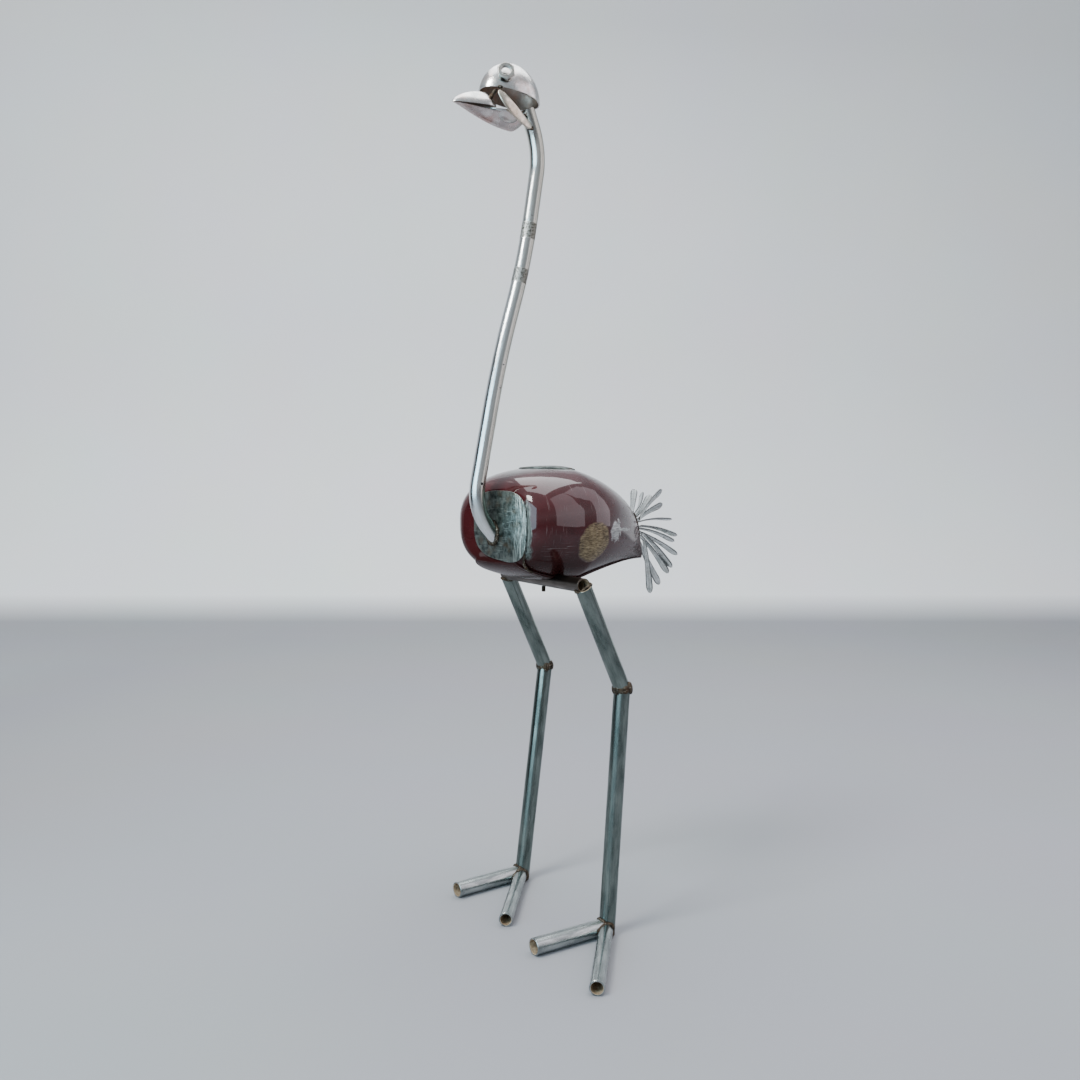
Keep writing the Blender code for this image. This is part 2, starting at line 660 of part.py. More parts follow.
def make_head(path, material, nut_material):
    """Four spoon bowls, the handle that braces them and the two nuts for eyes."""
    forward = Vector((-math.sin(HEAD_TURN), -math.cos(HEAD_TURN), 0))
    left = Vector((math.cos(HEAD_TURN), -math.sin(HEAD_TURN), 0))
    origin = path[-1][0] + Vector((0, HEAD_BEHIND_NECK_TOP, -HEAD_BELOW_NECK_TOP))
    head = Matrix.Translation(origin) @ Matrix((
        (forward.x, left.x, 0, 0), (forward.y, left.y, 0, 0), (0, 0, 1, 0), (0, 0, 0, 1)))

    bill = head @ Matrix.Translation((0, 0, BILL_AXIS_UP)) @ Matrix.Rotation(BILL_ROLL, 4, "X")

    def placing(carrier, forward_by, up_by, tilt):
        return carrier @ Matrix.Translation((forward_by, 0, up_by)) @ Matrix.Rotation(-tilt, 4, "Y")

    crown_sizes = (CROWN_FRONT, CROWN_BACK, CROWN_HALF_WIDTH, CROWN_DEPTH)
    crown_placing = placing(head, CROWN_FORWARD, CROWN_UP, CROWN_TILT)
    make_bowl("crown_bowl", crown_placing, crown_sizes, CROWN_FULLNESS, 0.0, True, material)

    upper_sizes = (UPPER_BILL_FRONT, UPPER_BILL_BACK, UPPER_BILL_HALF_WIDTH, UPPER_BILL_DEPTH)
    upper_placing = placing(bill, UPPER_BILL_FORWARD, UPPER_BILL_UP, UPPER_BILL_TILT)
    make_bowl(
        "upper_bill_spoon", upper_placing, upper_sizes, UPPER_BILL_FULLNESS, UPPER_BILL_POINT, True,
        material)

    throat_sizes = (THROAT_FRONT, THROAT_BACK, THROAT_HALF_WIDTH, THROAT_DEPTH)
    throat_placing = placing(bill, THROAT_FORWARD, THROAT_UP, THROAT_TILT)
    make_bowl("throat_bowl", throat_placing, throat_sizes, THROAT_FULLNESS, 0.0, False, material)

    lower_sizes = (LOWER_BILL_FRONT, LOWER_BILL_BACK, LOWER_BILL_HALF_WIDTH, LOWER_BILL_DEPTH)
    lower_placing = placing(bill, LOWER_BILL_FORWARD, LOWER_BILL_UP, LOWER_BILL_TILT)
    lower = make_bowl(
        "lower_bill_spoon", lower_placing, lower_sizes, LOWER_BILL_FULLNESS, LOWER_BILL_POINT, False,
        material)
    cut_away(lower, make_throat_cutter(throat_placing, throat_sizes))
    cut_away(lower, make_neck_cutter(path[-7:]))

    make_strap(head, material)
    crown_place = Vector((CROWN_FORWARD, 0, CROWN_UP))
    make_eye_nut("left", LEFT_EYE_TURN, head, crown_place, crown_sizes, nut_material)
    make_eye_nut("right", -RIGHT_EYE_TURN, head, crown_place, crown_sizes, nut_material)


def make_strap(head, material, steps=10):
    """The flat spoon handle that runs in a bow from the crown's rim, past the jaw, to the neck."""
    upper = Vector((STRAP_TOP_FORWARD, STRAP_TOP_LEFT, STRAP_TOP_UP))
    middle = Vector((STRAP_MIDDLE_FORWARD, STRAP_MIDDLE_LEFT, STRAP_MIDDLE_UP))
    lower = Vector((STRAP_FOOT_FORWARD, STRAP_FOOT_LEFT, -STRAP_FOOT_DOWN))
    control = 2 * middle - (upper + lower) / 2
    rings = []
    for step in range(steps + 1):
        share = step / steps
        centre = (1 - share) ** 2 * upper + 2 * share * (1 - share) * control + share ** 2 * lower
        way = (2 * (1 - share) * (control - upper) + 2 * share * (lower - control)).normalized()
        outward = (Vector((0, 1, 0)) - way.y * way).normalized()
        width_way = way.cross(outward)
        half_width = STRAP_WIDTH / 2 * (0.62 + 0.38 * math.sin(math.pi * share))
        half_thick = STRAP_THICKNESS / 2
        ring = []
        for wide, thick in ((-1, -1), (-1, 1), (-0.5, 1.35), (0.5, 1.35), (1, 1), (1, -1)):
            ring.append(head @ (centre + wide * half_width * width_way + thick * half_thick * outward))
        rings.append(ring)
    vertices, faces = join_rings(rings)
    faces.append(tuple(range(6)))
    faces.append(tuple(range(6 * steps, 6 * steps + 6)))
    return add_object("head_strap", vertices, faces, material)


def make_eye_nut(side, turn, head, crown_place, crown_size, material):
    """A nut that looks outwards, moved out along its axis until it only just clears the crown."""
    front, rear, half_width, depth = crown_size
    axis = Vector((math.cos(turn) / front, math.sin(turn) / half_width, 0.16 / half_width)).normalized()
    first, second = across(axis)
    corner = EYE_NUT_ACROSS / 2 / math.cos(math.pi / 6)

    def clears(centre):
        for step in range(24):
            angle = math.tau * step / 24
            point = centre + corner * (math.cos(angle) * first + math.sin(angle) * second)
            rel = point - crown_place
            reach = front if rel.x > 0 else rear
            level = (rel.x / reach) ** 2 + (rel.y / half_width) ** 2 + (rel.z / depth) ** 2
            if level < (1 + 2 * WELD_GAP / half_width) ** 2:
                return False
        return True

    back = crown_place + Vector((
        0.55 * front * math.cos(turn), 0.55 * half_width * math.sin(turn), EYE_NUT_HEIGHT))
    while not clears(back):
        back = back + 0.0002 * axis
    rings = []
    thickness = EYE_NUT_THICKNESS
    for radius_kind, offset in (("hex", 0), ("hex", thickness), ("hole", thickness), ("hole", 0)):
        ring = []
        for step in range(24):
            angle = math.tau * step / 24
            flat_angle = (angle % (math.pi / 3)) - math.pi / 6
            radius = EYE_NUT_ACROSS / 2 / math.cos(flat_angle) if radius_kind == "hex" else EYE_NUT_HOLE / 2
            ring.append(head @ (back + offset * axis
                                + radius * (math.cos(angle) * first + math.sin(angle) * second)))
        rings.append(ring)
    vertices, faces = join_rings(rings, closed_run=True)
    return add_object(side + "_eye_nut", vertices, faces, material)


def tail_root(share):
    """Middle of a handle's root, by its share of the way down the tank's rear edge."""
    middle = tank_measures(1)[3]
    z = HIP_HEIGHT + TAIL_ROOT_TOP_RISE + (TAIL_ROOT_BOTTOM_RISE - TAIL_ROOT_TOP_RISE) * share
    y = TANK_FRONT_Y + TANK_LENGTH + TANK_TAIL_RAKE * (middle - z)
    return Vector((0, y, z))


def make_tail_weld(material, sides=12, steps=10):
    """The long lump of weld metal down the tank's rear edge."""
    top = tail_root(-0.10)
    bottom = tail_root(1.10)
    rings = []
    for step in range(1, steps):
        share = step / steps
        swell = math.sin(math.pi * share) ** 0.4
        centre = top + (bottom - top) * share
        ring = []
        for side in range(sides + 1):
            angle = math.pi * side / sides
            ring.append(centre + Vector((
                TAIL_WELD_HALF_WIDTH * swell * math.cos(angle),
                WELD_GAP + TAIL_WELD_DEPTH * swell * math.sin(angle), 0)))
        rings.append(ring)
    vertices, faces = join_rings(rings)
    count = sides + 1
    faces.append(tuple(range(count)))
    faces.append(tuple(range(count * (steps - 2), count * (steps - 1))))
    return add_object("tail_weld", vertices, faces, material)


def handle_angles(index):
    """Rise and sway of one handle of the tail."""
    if index < TUFT_COUNT:
        return TUFT_RISE + TUFT_RISE_STEP * index, TUFT_SWAY + TUFT_SWAY_STEP * index
    share = (index - TUFT_COUNT) / (TAIL_COUNT - 1 - TUFT_COUNT)
    rise = FAN_TOP_RISE + (FAN_BOTTOM_RISE - FAN_TOP_RISE) * share ** FAN_CROWDING
    rise = rise + FAN_RISE_WOBBLE * math.sin(2.0 * index - 0.75)
    sway = FAN_EDGE_SWAY + (FAN_MIDDLE_SWAY - FAN_EDGE_SWAY) * math.sin(math.pi * share)
    sway = sway + FAN_SWAY_WOBBLE * math.sin(2.5 * index + 0.6)
    return rise, sway


def make_tail_handle(index, material, steps=6):
    """One spoon handle: narrow at the weld, widening to a rounded end, and slightly bowed."""
    share = index / (TAIL_COUNT - 1)
    rise, sway = handle_angles(index)
    way = Vector((math.sin(sway), math.cos(sway) * math.cos(rise), math.cos(sway) * math.sin(rise)))
    roll = TUFT_ROLL if index < TUFT_COUNT else FAN_ROLL
    roll = roll + TAIL_ROLL_WOBBLE * math.sin(3 * index)
    if index + 1 in TAIL_TURNED:
        roll = roll + TAIL_TURNED_ROLL
    side_way = Vector((1, 0, 0)).cross(way).normalized()
    face_way = way.cross(side_way)
    wide_way = math.cos(roll) * side_way + math.sin(roll) * face_way
    thick_way = way.cross(wide_way)
    length = TAIL_HANDLE_LENGTH - TAIL_MIDDLE_SHORTER * math.sin(math.pi * share)
    length = length + TAIL_LENGTH_WOBBLE * math.sin(2.1 * index + 3.6)
    root_depth = TAIL_HANDLE_THICKNESS + TAIL_HANDLE_ROOT_WIDTH * abs(math.sin(rise))
    behind = TAIL_WELD_DEPTH + 2 * WELD_GAP + root_depth / 2
    aside = TUFT_LAYER * index - TAIL_LAYER if index < TUFT_COUNT else TAIL_LAYER * (1 - index % 3)
    start = tail_root(share ** TAIL_ROOT_CROWDING) + Vector((aside, behind, 0))
    rings = []
    for step in range(steps + 1):
        along = 1.0 if step == steps else 0.95 * step / (steps - 1)
        widening = (TAIL_HANDLE_TIP_WIDTH - TAIL_HANDLE_ROOT_WIDTH) * along ** 1.3
        half_width = (TAIL_HANDLE_ROOT_WIDTH + widening) / 2
        if step == steps:
            half_width = 0.55 * half_width
        bow = TAIL_HANDLE_BOW * math.sin(math.pi * along)
        centre = start + length * along * way - bow * thick_way
        half_thick = TAIL_HANDLE_THICKNESS / 2
        ring = []
        for wide, thick in ((-1, 0), (-0.8, 1), (0.8, 1), (1, 0), (0.8, -1), (-0.8, -1)):
            ring.append(centre + wide * half_width * wide_way + thick * half_thick * thick_way)
        rings.append(ring)
    vertices, faces = join_rings(rings)
    faces.append(tuple(range(6)))
    faces.append(tuple(range(6 * steps, 6 * steps + 6)))
    return add_object("tail_handle_%02d" % (index + 1), vertices, faces, material)


def centre_on_floor():
    """Move the whole bird so that the middle of its footprint is over the origin."""
    bpy.context.view_layer.update()
    shown = [item for item in bpy.data.objects if item.type == "MESH" and not item.hide_render]
    graph = bpy.context.evaluated_depsgraph_get()
    corners = []
    for item in shown:
        evaluated = item.evaluated_get(graph)
        corners += [evaluated.matrix_world @ vertex.co for vertex in evaluated.data.vertices]
    middle_x = (min(p.x for p in corners) + max(p.x for p in corners)) / 2
    middle_y = (min(p.y for p in corners) + max(p.y for p in corners)) / 2
    stand = bpy.data.objects.new("bird", None)
    bpy.context.scene.collection.objects.link(stand)
    for item in list(bpy.data.objects):
        if item.type == "MESH":
            item.parent = stand
    stand.location = (-middle_x, -middle_y, 0)
    bpy.context.view_layer.update()


def build():
    """Make every piece of the bird."""
    clear_scene()
    paint = make_material("maroon_paint", (0.10, 0.010, 0.014), 0.25, 0.15)
    ground_steel = make_material("ground_steel", (0.40, 0.42, 0.40), 1.0, 0.40)
    chrome = make_material("chrome_plate", (0.75, 0.76, 0.74), 1.0, 0.12)
    leg_steel = make_material("leg_steel", (0.38, 0.41, 0.40), 1.0, 0.28)
    spoon_steel = make_material("spoon_steel", (0.72, 0.72, 0.70), 1.0, 0.14)
    handle_steel = make_material("handle_steel", (0.60, 0.62, 0.60), 1.0, 0.25)
    weld_metal = make_material("weld_metal", (0.16, 0.13, 0.10), 0.8, 0.55)
    make_material("cutter", (0.8, 0.1, 0.8), 0.0, 0.5)

    left_hip = Vector((LEFT_LEG_X, LEFT_HIP_Y, HIP_HEIGHT + HIP_SLANT / 2))
    right_hip = Vector((RIGHT_LEG_X, RIGHT_HIP_Y, HIP_HEIGHT - HIP_SLANT / 2))
    hip_reach = (HIP_OVERHANG + WELD_GAP) * (left_hip - right_hip).normalized()
    hip_cutter = add_cutter(
        "hip_cutter", right_hip - hip_reach, left_hip + hip_reach, HIP_TUBE / 2 + WELD_GAP)

    make_tank(paint, hip_cutter)
    make_chest_plate(ground_steel)
    make_filler_cover(ground_steel)
    path = neck_path()
    make_neck(path, chrome)
    make_hips(left_hip, right_hip, leg_steel)
    left_knee = Vector((LEFT_LEG_X, LEFT_KNEE_Y, LEFT_KNEE_HEIGHT))
    left_heel = Vector((LEFT_LEG_X, LEFT_HEEL_Y, 0))
    make_leg(
        "left", left_hip, left_knee, left_heel, LEFT_TOE_TURN, LEFT_TOE_SPREAD, hip_cutter, leg_steel)
    right_knee = Vector((RIGHT_LEG_X, RIGHT_KNEE_Y, RIGHT_KNEE_HEIGHT))
    right_heel = Vector((RIGHT_LEG_X, RIGHT_HEEL_Y, 0))
    make_leg(
        "right", right_hip, right_knee, right_heel, RIGHT_TOE_TURN, RIGHT_TOE_SPREAD, hip_cutter,
        leg_steel)
    make_head(path, spoon_steel, weld_metal)
    make_tail_weld(weld_metal)
    for index in range(TAIL_COUNT):
        make_tail_handle(index, handle_steel)
    centre_on_floor()


build()
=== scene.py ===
import math

import bmesh
import bpy
from mathutils import Matrix, Vector, noise


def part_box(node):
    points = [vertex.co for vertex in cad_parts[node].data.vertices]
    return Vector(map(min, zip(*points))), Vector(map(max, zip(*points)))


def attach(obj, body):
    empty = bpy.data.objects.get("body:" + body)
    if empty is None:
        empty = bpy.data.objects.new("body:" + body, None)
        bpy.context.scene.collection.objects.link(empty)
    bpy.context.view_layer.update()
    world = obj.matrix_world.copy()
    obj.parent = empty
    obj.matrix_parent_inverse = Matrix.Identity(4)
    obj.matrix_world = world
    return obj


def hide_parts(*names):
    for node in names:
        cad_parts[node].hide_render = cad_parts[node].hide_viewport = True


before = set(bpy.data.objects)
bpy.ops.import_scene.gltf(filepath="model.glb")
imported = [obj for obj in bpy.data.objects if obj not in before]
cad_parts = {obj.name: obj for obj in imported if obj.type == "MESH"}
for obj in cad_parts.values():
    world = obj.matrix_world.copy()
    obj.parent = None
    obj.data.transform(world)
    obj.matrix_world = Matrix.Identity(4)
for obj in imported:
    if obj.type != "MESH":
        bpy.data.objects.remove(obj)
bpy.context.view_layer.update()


# The floor and the light
# The bird stands on a plain pale floor that curves up behind it, like studio paper.
# Big soft lamps stand round it, because polished tube and paint show little but what they mirror.

# Places are measured from the floor under the middle of the hips, as the bird was laid out
HIPS_X, HIPS_Y = 0.0042, -0.00445
hip_low, hip_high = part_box("hip_tube")
FLOOR_POINT = Vector(((hip_low.x + hip_high.x) / 2 - HIPS_X, (hip_low.y + hip_high.y) / 2 - HIPS_Y, 0))
CAMERA_WAY = Vector((-0.7193, 0.6947, -66 / 1080)).normalized()
UP = Vector((0, 0, 1))


def at(x, y, z):
    """A place on the bird: so far to its left, behind and above the floor point."""
    return FLOOR_POINT + Vector((x, y, z))


def put_in_room(name, data):
    """A new thing in the scene."""
    item = bpy.data.objects.new(name, data)
    bpy.context.scene.collection.objects.link(item)
    return item


class Finish:
    """A surface in the making: its shader, and short ways to add what feeds it."""

    def __init__(self, owner, metallic=0.0, coordinates=None, shader="Principled BSDF"):
        self.owner = bpy.data.materials.new(owner) if isinstance(owner, str) else owner
        self.owner.use_nodes = True
        self.tree = self.owner.node_tree
        self.shader = self.tree.nodes[shader]
        if metallic:
            self.set("Metallic", metallic)
        if coordinates:
            self.place = self.node("TexCoord", {}, coordinates)
        else:
            self.place = self.node("Attribute", {}, "Vector", attribute_name="straight")

    def feed(self, socket, value):
        """Gives an input a number, a colour or another node's output."""
        if isinstance(value, bpy.types.NodeSocket):
            self.tree.links.new(value, socket)
        else:
            socket.default_value = (*value, 1) if socket.type == "RGBA" else value

    def set(self, name, value):
        self.feed(self.shader.inputs[name], value)

    def node(self, kind, values, output=0, **settings):
        """The output of a new node with its settings and the values of its inputs."""
        item = self.tree.nodes.new("ShaderNode" + kind)
        for name, value in settings.items():
            setattr(item, name, value)
        for name, value in values.items():
            self.feed(item.inputs[name], value)
        return item.outputs[output]

    def mark(self, name):
        """A measure kept on the piece itself."""
        return self.node("Attribute", {}, "Fac", attribute_name=name)

    def mix(self, amount, first, second, **how):
        """Two colours mixed."""
        return self.node("Mix", {0: amount, 6: first, 7: second}, 2, data_type="RGBA", **how)

    def sum(self, operation, first, second):
        return self.node("Math", {0: first, 1: second}, operation=operation, use_clamp=True)

    def times(self, first, second):
        return self.sum("MULTIPLY", first, second)

    def plus(self, first, second):
        return self.sum("ADD", first, second)

    def less(self, first, second):
        return self.sum("SUBTRACT", first, second)

    def most(self, first, second):
        return self.sum("MAXIMUM", first, second)

    def level(self, value, low, high):
        """A value brought from low and high to 0 and 1."""
        return self.node("MapRange", {"Value": value, "From Min": low, "From Max": high})

    def spread(self, value, low, high):
        """A share brought from 0 and 1 to low and high."""
        return self.node("MapRange", {"Value": value, "To Min": low, "To Max": high})

    def grain(self, stretch, detail, low, high):
        """Noise stretched by its own scale on each axis, or by one, and brought between 0 and 1."""
        stretch = stretch if isinstance(stretch, tuple) else (stretch, stretch, stretch)
        moved = self.node("Mapping", {"Vector": self.place, "Scale": stretch})
        cloud = self.node("TexNoise", {"Vector": moved, "Scale": 1.0, "Detail": detail, "Roughness": 0.6})
        return self.level(cloud, low, high)

    def steps(self, amount, stops):
        """A run of colours along a value."""
        item = self.tree.nodes.new("ShaderNodeValToRGB")
        self.feed(item.inputs[0], amount)
        ramp = item.color_ramp.elements
        ramp[0].position, ramp[1].position = stops[0][0], stops[-1][0]
        for position, _ in stops[1:-1]:
            ramp.new(position)
        for stop, (_, colour) in zip(ramp, stops):
            stop.color = (*colour, 1)
        return item.outputs[0]

    def close(self, colour, rough, relief, strength, distance):
        """Joins colour, roughness and relief to the shader."""
        self.set("Base Color", colour)
        self.set("Roughness", rough)
        self.set("Normal", self.node("Bump", {"Height": relief, "Strength": strength, "Distance": distance}))
        return self.owner


def stage_sheet(name, corners, faces, sheet, colour, rough):
    """A sheet that stands round the bird and isn't part of it."""
    sheet.set("Base Color", colour)
    sheet.set("Roughness", rough)
    mesh = bpy.data.meshes.new(name)
    mesh.from_pydata(corners, [], faces)
    mesh.shade_smooth()
    mesh.materials.append(sheet.owner)
    put_in_room(name, mesh)


def lay_paper():
    """One sheet: level under the bird, then a wide curve up into an upright back."""
    flat, bend, height, half_width, bend_steps = 2.6, 1.2, 3.4, 7.0, 16
    profile = [(-6.0, 0.0), (0.0, 0.0), (flat, 0.0)]
    for step in range(1, bend_steps + 1):
        angle = math.radians(90 * step / bend_steps)
        profile.append((flat + bend * math.sin(angle), bend * (1 - math.cos(angle))))
    profile.append((flat + bend, height))
    flat_way = Vector((CAMERA_WAY.x, CAMERA_WAY.y, 0)).normalized()
    side_way = Vector((flat_way.y, -flat_way.x, 0))
    corners = [at(0, 0, 0) + reach * flat_way + side * side_way + Vector((0, 0, rise - 0.0002))
               for reach, rise in profile for side in (-half_width, half_width)]
    faces = [(2 * i, 2 * i + 1, 2 * i + 3, 2 * i + 2) for i in range(len(profile) - 1)]
    paper = Finish("floor paper", coordinates="Object")
    paper.set("Specular IOR Level", 0.25)
    mottle = paper.node("TexNoise", {"Vector": paper.place, "Scale": 1.7, "Detail": 4.0}, "Color")
    rise = paper.level(paper.node("SeparateXYZ", {0: paper.place}, 2), 0.02, 0.10)
    tone = paper.mix(rise, (0.31, 0.315, 0.335), (0.89, 0.895, 0.90))
    stage_sheet("studio_paper", corners, faces, paper, paper.mix(0.10, tone, mottle, blend_type="MULTIPLY"), 0.72)


lay_paper()

# A black cloth on the left, out of the picture, gives the polished tubes their dark edges
cloth = Finish("black cloth", coordinates="Generated")
weave = cloth.node("TexNoise", {"Vector": cloth.place, "Scale": 220.0})
cloth_colour = cloth.steps(weave, ((0.0, (0.008, 0.008, 0.009)), (1.0, (0.020, 0.020, 0.021))))
cloth_corners = [at(-1.55, -1.05, 0), at(-0.55, -1.75, 0), at(-0.55, -1.75, 1.9), at(-1.55, -1.05, 1.9)]
stage_sheet("black_flag", cloth_corners, [(0, 1, 2, 3)], cloth, cloth_colour, 0.9)

for lamp_name, lamp_place, lit, width, height, watts, colour in (
        ("window_left", at(0.35, -3.2, 1.35), at(0, 0, 0.6), 3.3, 2.3, 112, (0.55, 0.84, 1.0)),
        ("sky_above", at(-0.4, 0.6, 3.5), at(0, 0, 0.5), 3.0, 3.0, 125, (0.96, 0.98, 1.0)),
        ("back_wash", at(-0.2, -2.4, 3.2), at(-2.6, 2.5, 0.9), 1.2, 1.2, 140, (1.0, 0.99, 0.96)),
        ("right_pane", at(1.86, 1.10, 1.45), at(0, 0, 0.6), 1.15, 2.3, 12, (1.0, 0.90, 0.97)),
        ("far_pane", at(1.06, 1.98, 1.45), at(0, 0, 0.6), 0.85, 2.3, 9, (1.0, 0.90, 0.97))):
    lamp = bpy.data.lights.new(lamp_name, "AREA")
    lamp.shape, lamp.size, lamp.size_y, lamp.energy, lamp.color = "RECTANGLE", width, height, watts, colour
    lamp_object = put_in_room(lamp_name, lamp)
    lamp_object.location = lamp_place
    lamp_object.rotation_euler = (lit - lamp_place).to_track_quat("-Z", "Y").to_euler()

bpy.context.scene.world = bpy.data.worlds.new("room")
room = Finish(bpy.context.scene.world, coordinates="Generated", shader="Background")
room.set("Color", room.steps(room.level(room.node("SeparateXYZ", {0: room.place}, 2), -1.0, 1.0), (
    (0.30, (0.10, 0.10, 0.11)), (0.46, (0.16, 0.165, 0.18)), (0.56, (0.62, 0.64, 0.68)),
    (0.70, (0.40, 0.44, 0.48)), (0.95, (0.82, 0.88, 0.95)))))
room.set("Strength", 0.92)

camera = bpy.data.cameras.new("camera")
camera.lens = camera.sensor_width = 36
camera_object = put_in_room("camera", camera)
camera_object.location = at(1.0632, -1.0310, 0.6115)
camera_object.rotation_euler = CAMERA_WAY.to_track_quat("-Z", "Y").to_euler()
bpy.context.scene.camera = camera_object


# The hip tube
# A length of plain steel tube welded across the underside of the tank, skewed to the stride.
# Both legs hang from it, its ends are left open, and a short bolt end sticks out under it.

HIP_TUBE_RADIUS = 0.0095
HIP_TUBE_WALL = 0.0018
HIP_HEIGHT = 0.4683
HIP_OVERHANG = 0.0038
LEFT_HIP = at(0.1151, -0.0404, HIP_HEIGHT + 0.0014)
RIGHT_HIP = at(-0.1067, 0.0315, HIP_HEIGHT - 0.0014)
HIP_WAY = (LEFT_HIP - RIGHT_HIP).normalized()
FIT_GAP = 0.0003    # between pieces that the weld joins
TUBE_SIDES = 48
TUBE_STEP = 0.004
EDGE_ROUNDING = 0.00035
TUBE_DENTS = 0.00008
WELD_SIDES = 14
WELD_STEP = 0.0006
WELD_RIPPLE = 0.0016

HEAT_COLOURS = (
    (0.15, (0.42, 0.38, 0.27)), (0.35, (0.33, 0.22, 0.11)), (0.55, (0.19, 0.12, 0.09)),
    (0.75, (0.13, 0.12, 0.13)), (1.00, (0.055, 0.048, 0.042)))


def heat_tint(surface, colour, heat, low, high):
    """Straw, brown, blue and black over a surface's own colour, by its nearness to a weld."""
    return surface.mix(surface.level(heat, low, high), colour, surface.steps(heat, HEAT_COLOURS))


def steel_finish(name, pale, dark, smooth, rough):
    """Drawn steel: lines along the tube, dull and bright patches, and burnt colours by the welds."""
    steel = Finish(name, 1.0)
    lines = steel.grain((900, 900, 9), 3.0, 0.35, 0.68)
    patches = steel.grain((110, 110, 22), 5.0, 0.36, 0.64)
    colour = steel.mix(patches, dark, pale)
    colour = steel.mix(steel.times(lines, 0.35), colour, tuple(0.55 * c for c in dark))
    heat = steel.times(steel.mark("heat"), steel.spread(steel.grain((160, 160, 130), 4.0, 0.30, 0.70), 0.62, 1.3))
    colour = heat_tint(steel, colour, heat, 0.05, 0.32)
    dirt = steel.times(steel.grain((420, 420, 300), 4.0, 0.57, 0.66), steel.plus(heat, 0.16))
    colour = steel.mix(dirt, colour, (0.050, 0.030, 0.018))
    worn = steel.plus(steel.spread(patches, rough, smooth), steel.times(heat, 0.28))
    relief = steel.plus(steel.times(lines, 0.5), steel.times(dirt, 0.5))
    return steel.close(colour, worn, relief, 0.22, 0.0004)


def bore_finish():
    """The unpolished inside of a tube: brown rust bloom over dull steel."""
    bore = Finish("rusty bore", 0.10, "Object")
    cloud = bore.grain(240, 5.0, 0.36, 0.66)
    rings = bore.grain(700, 3.0, 0.45, 0.65)
    colour = bore.mix(cloud, (0.23, 0.150, 0.085), (0.50, 0.40, 0.27))
    colour = bore.mix(bore.times(rings, 0.4), colour, (0.12, 0.075, 0.045))
    return bore.close(colour, bore.spread(cloud, 0.80, 0.60), rings, 0.4, 0.0004)


def weld_finish():
    """Cooled weld metal: dark scale over grey ripples, with a little rust."""
    weld = Finish("weld metal", 0.85, "Object")
    patches = weld.grain(170, 4.0, 0.38, 0.62)
    colour = weld.mix(patches, (0.016, 0.012, 0.009), (0.088, 0.068, 0.048))
    colour = weld.mix(weld.grain(90, 5.0, 0.52, 0.68), colour, (0.070, 0.038, 0.018))
    colour = weld.mix(weld.times(weld.grain(600, 2.0, 0.62, 0.68), 0.7), colour, (0.50, 0.46, 0.38))
    return weld.close(colour, weld.spread(patches, 0.70, 0.44), weld.grain(900, 3.0, 0.3, 0.7), 0.4, 0.0004)


SCALED_STEEL = steel_finish("scaled hip steel", (0.115, 0.095, 0.080), (0.050, 0.040, 0.034), 0.30, 0.48)
RUSTY_BORE = bore_finish()
WELD_METAL = weld_finish()


def closed_mesh(name, points, faces):
    """A mesh with all its faces turned outwards."""
    mesh = bpy.data.meshes.new(name)
    mesh.from_pydata([tuple(point) for point in points], [], faces)
    shape = bmesh.new()
    shape.from_mesh(mesh)
    bmesh.ops.recalc_face_normals(shape, faces=shape.faces[:])
    shape.to_mesh(mesh)
    shape.free()
    return mesh


def piece(name, node, skin, material, creases, straight=None, heat_spots=()):
    """A closed piece on the bird, with its unrolled place and its nearness to welds kept on it."""
    mesh = closed_mesh(name, *skin)
    mesh.shade_smooth()
    mesh.set_sharp_from_angle(angle=math.radians(creases))
    mesh.materials.append(material)
    mesh.attributes.new("straight", "FLOAT_VECTOR", "POINT")
    mesh.attributes.new("heat", "FLOAT", "POINT")
    unrolled = mesh.attributes["straight"].data
    heat = mesh.attributes["heat"].data
    for index, vertex in enumerate(mesh.vertices):
        unrolled[index].vector = straight[index] if straight else vertex.co - FLOOR_POINT
        heat[index].value = max(
            [0.0] + [math.exp(-((vertex.co - spot).length / reach) ** 2) for spot, reach in heat_spots])
    item = put_in_room(name, mesh)
    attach(item, "root")
    if node:
        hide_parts(node)
    return item


def skin_over(rows, closed=False):
    """Points and faces over rings in a row; unless the row comes round, its two ends are closed."""
    count, size = len(rows), len(rows[0])
    faces = []
    for ring in range(count if closed else count - 1):
        here, there = ring * size, (ring + 1) % count * size
        for side in range(size):
            following = (side + 1) % size
            faces.append((here + side, here + following, there + following, there + side))
    if not closed:
        faces += [tuple(range(size)), tuple(range((count - 1) * size, count * size))]
    return [point for row in rows for point in row], faces


def two_across(way):
    """Two directions square to a tube's own."""
    helper = Vector((1, 0, 0)) if abs(way.x) < 0.9 else Vector((0, 1, 0))
    first = way.cross(helper).normalized()
    return first, way.cross(first).normalized()


def outwards(axes, sides):
    """Directions out from a tube's middle, from the first of its two axes round by the second."""
    return [math.cos(math.tau * side / sides) * axes[0] + math.sin(math.tau * side / sides) * axes[1]
            for side in range(sides)]


def line_bore(tube, first_face):
    """Gives the inside of a tube, from a given face on, its own rusty finish."""
    tube.data.materials.append(RUSTY_BORE)
    for face in tube.data.polygons[first_face:]:
        face.material_index = 1


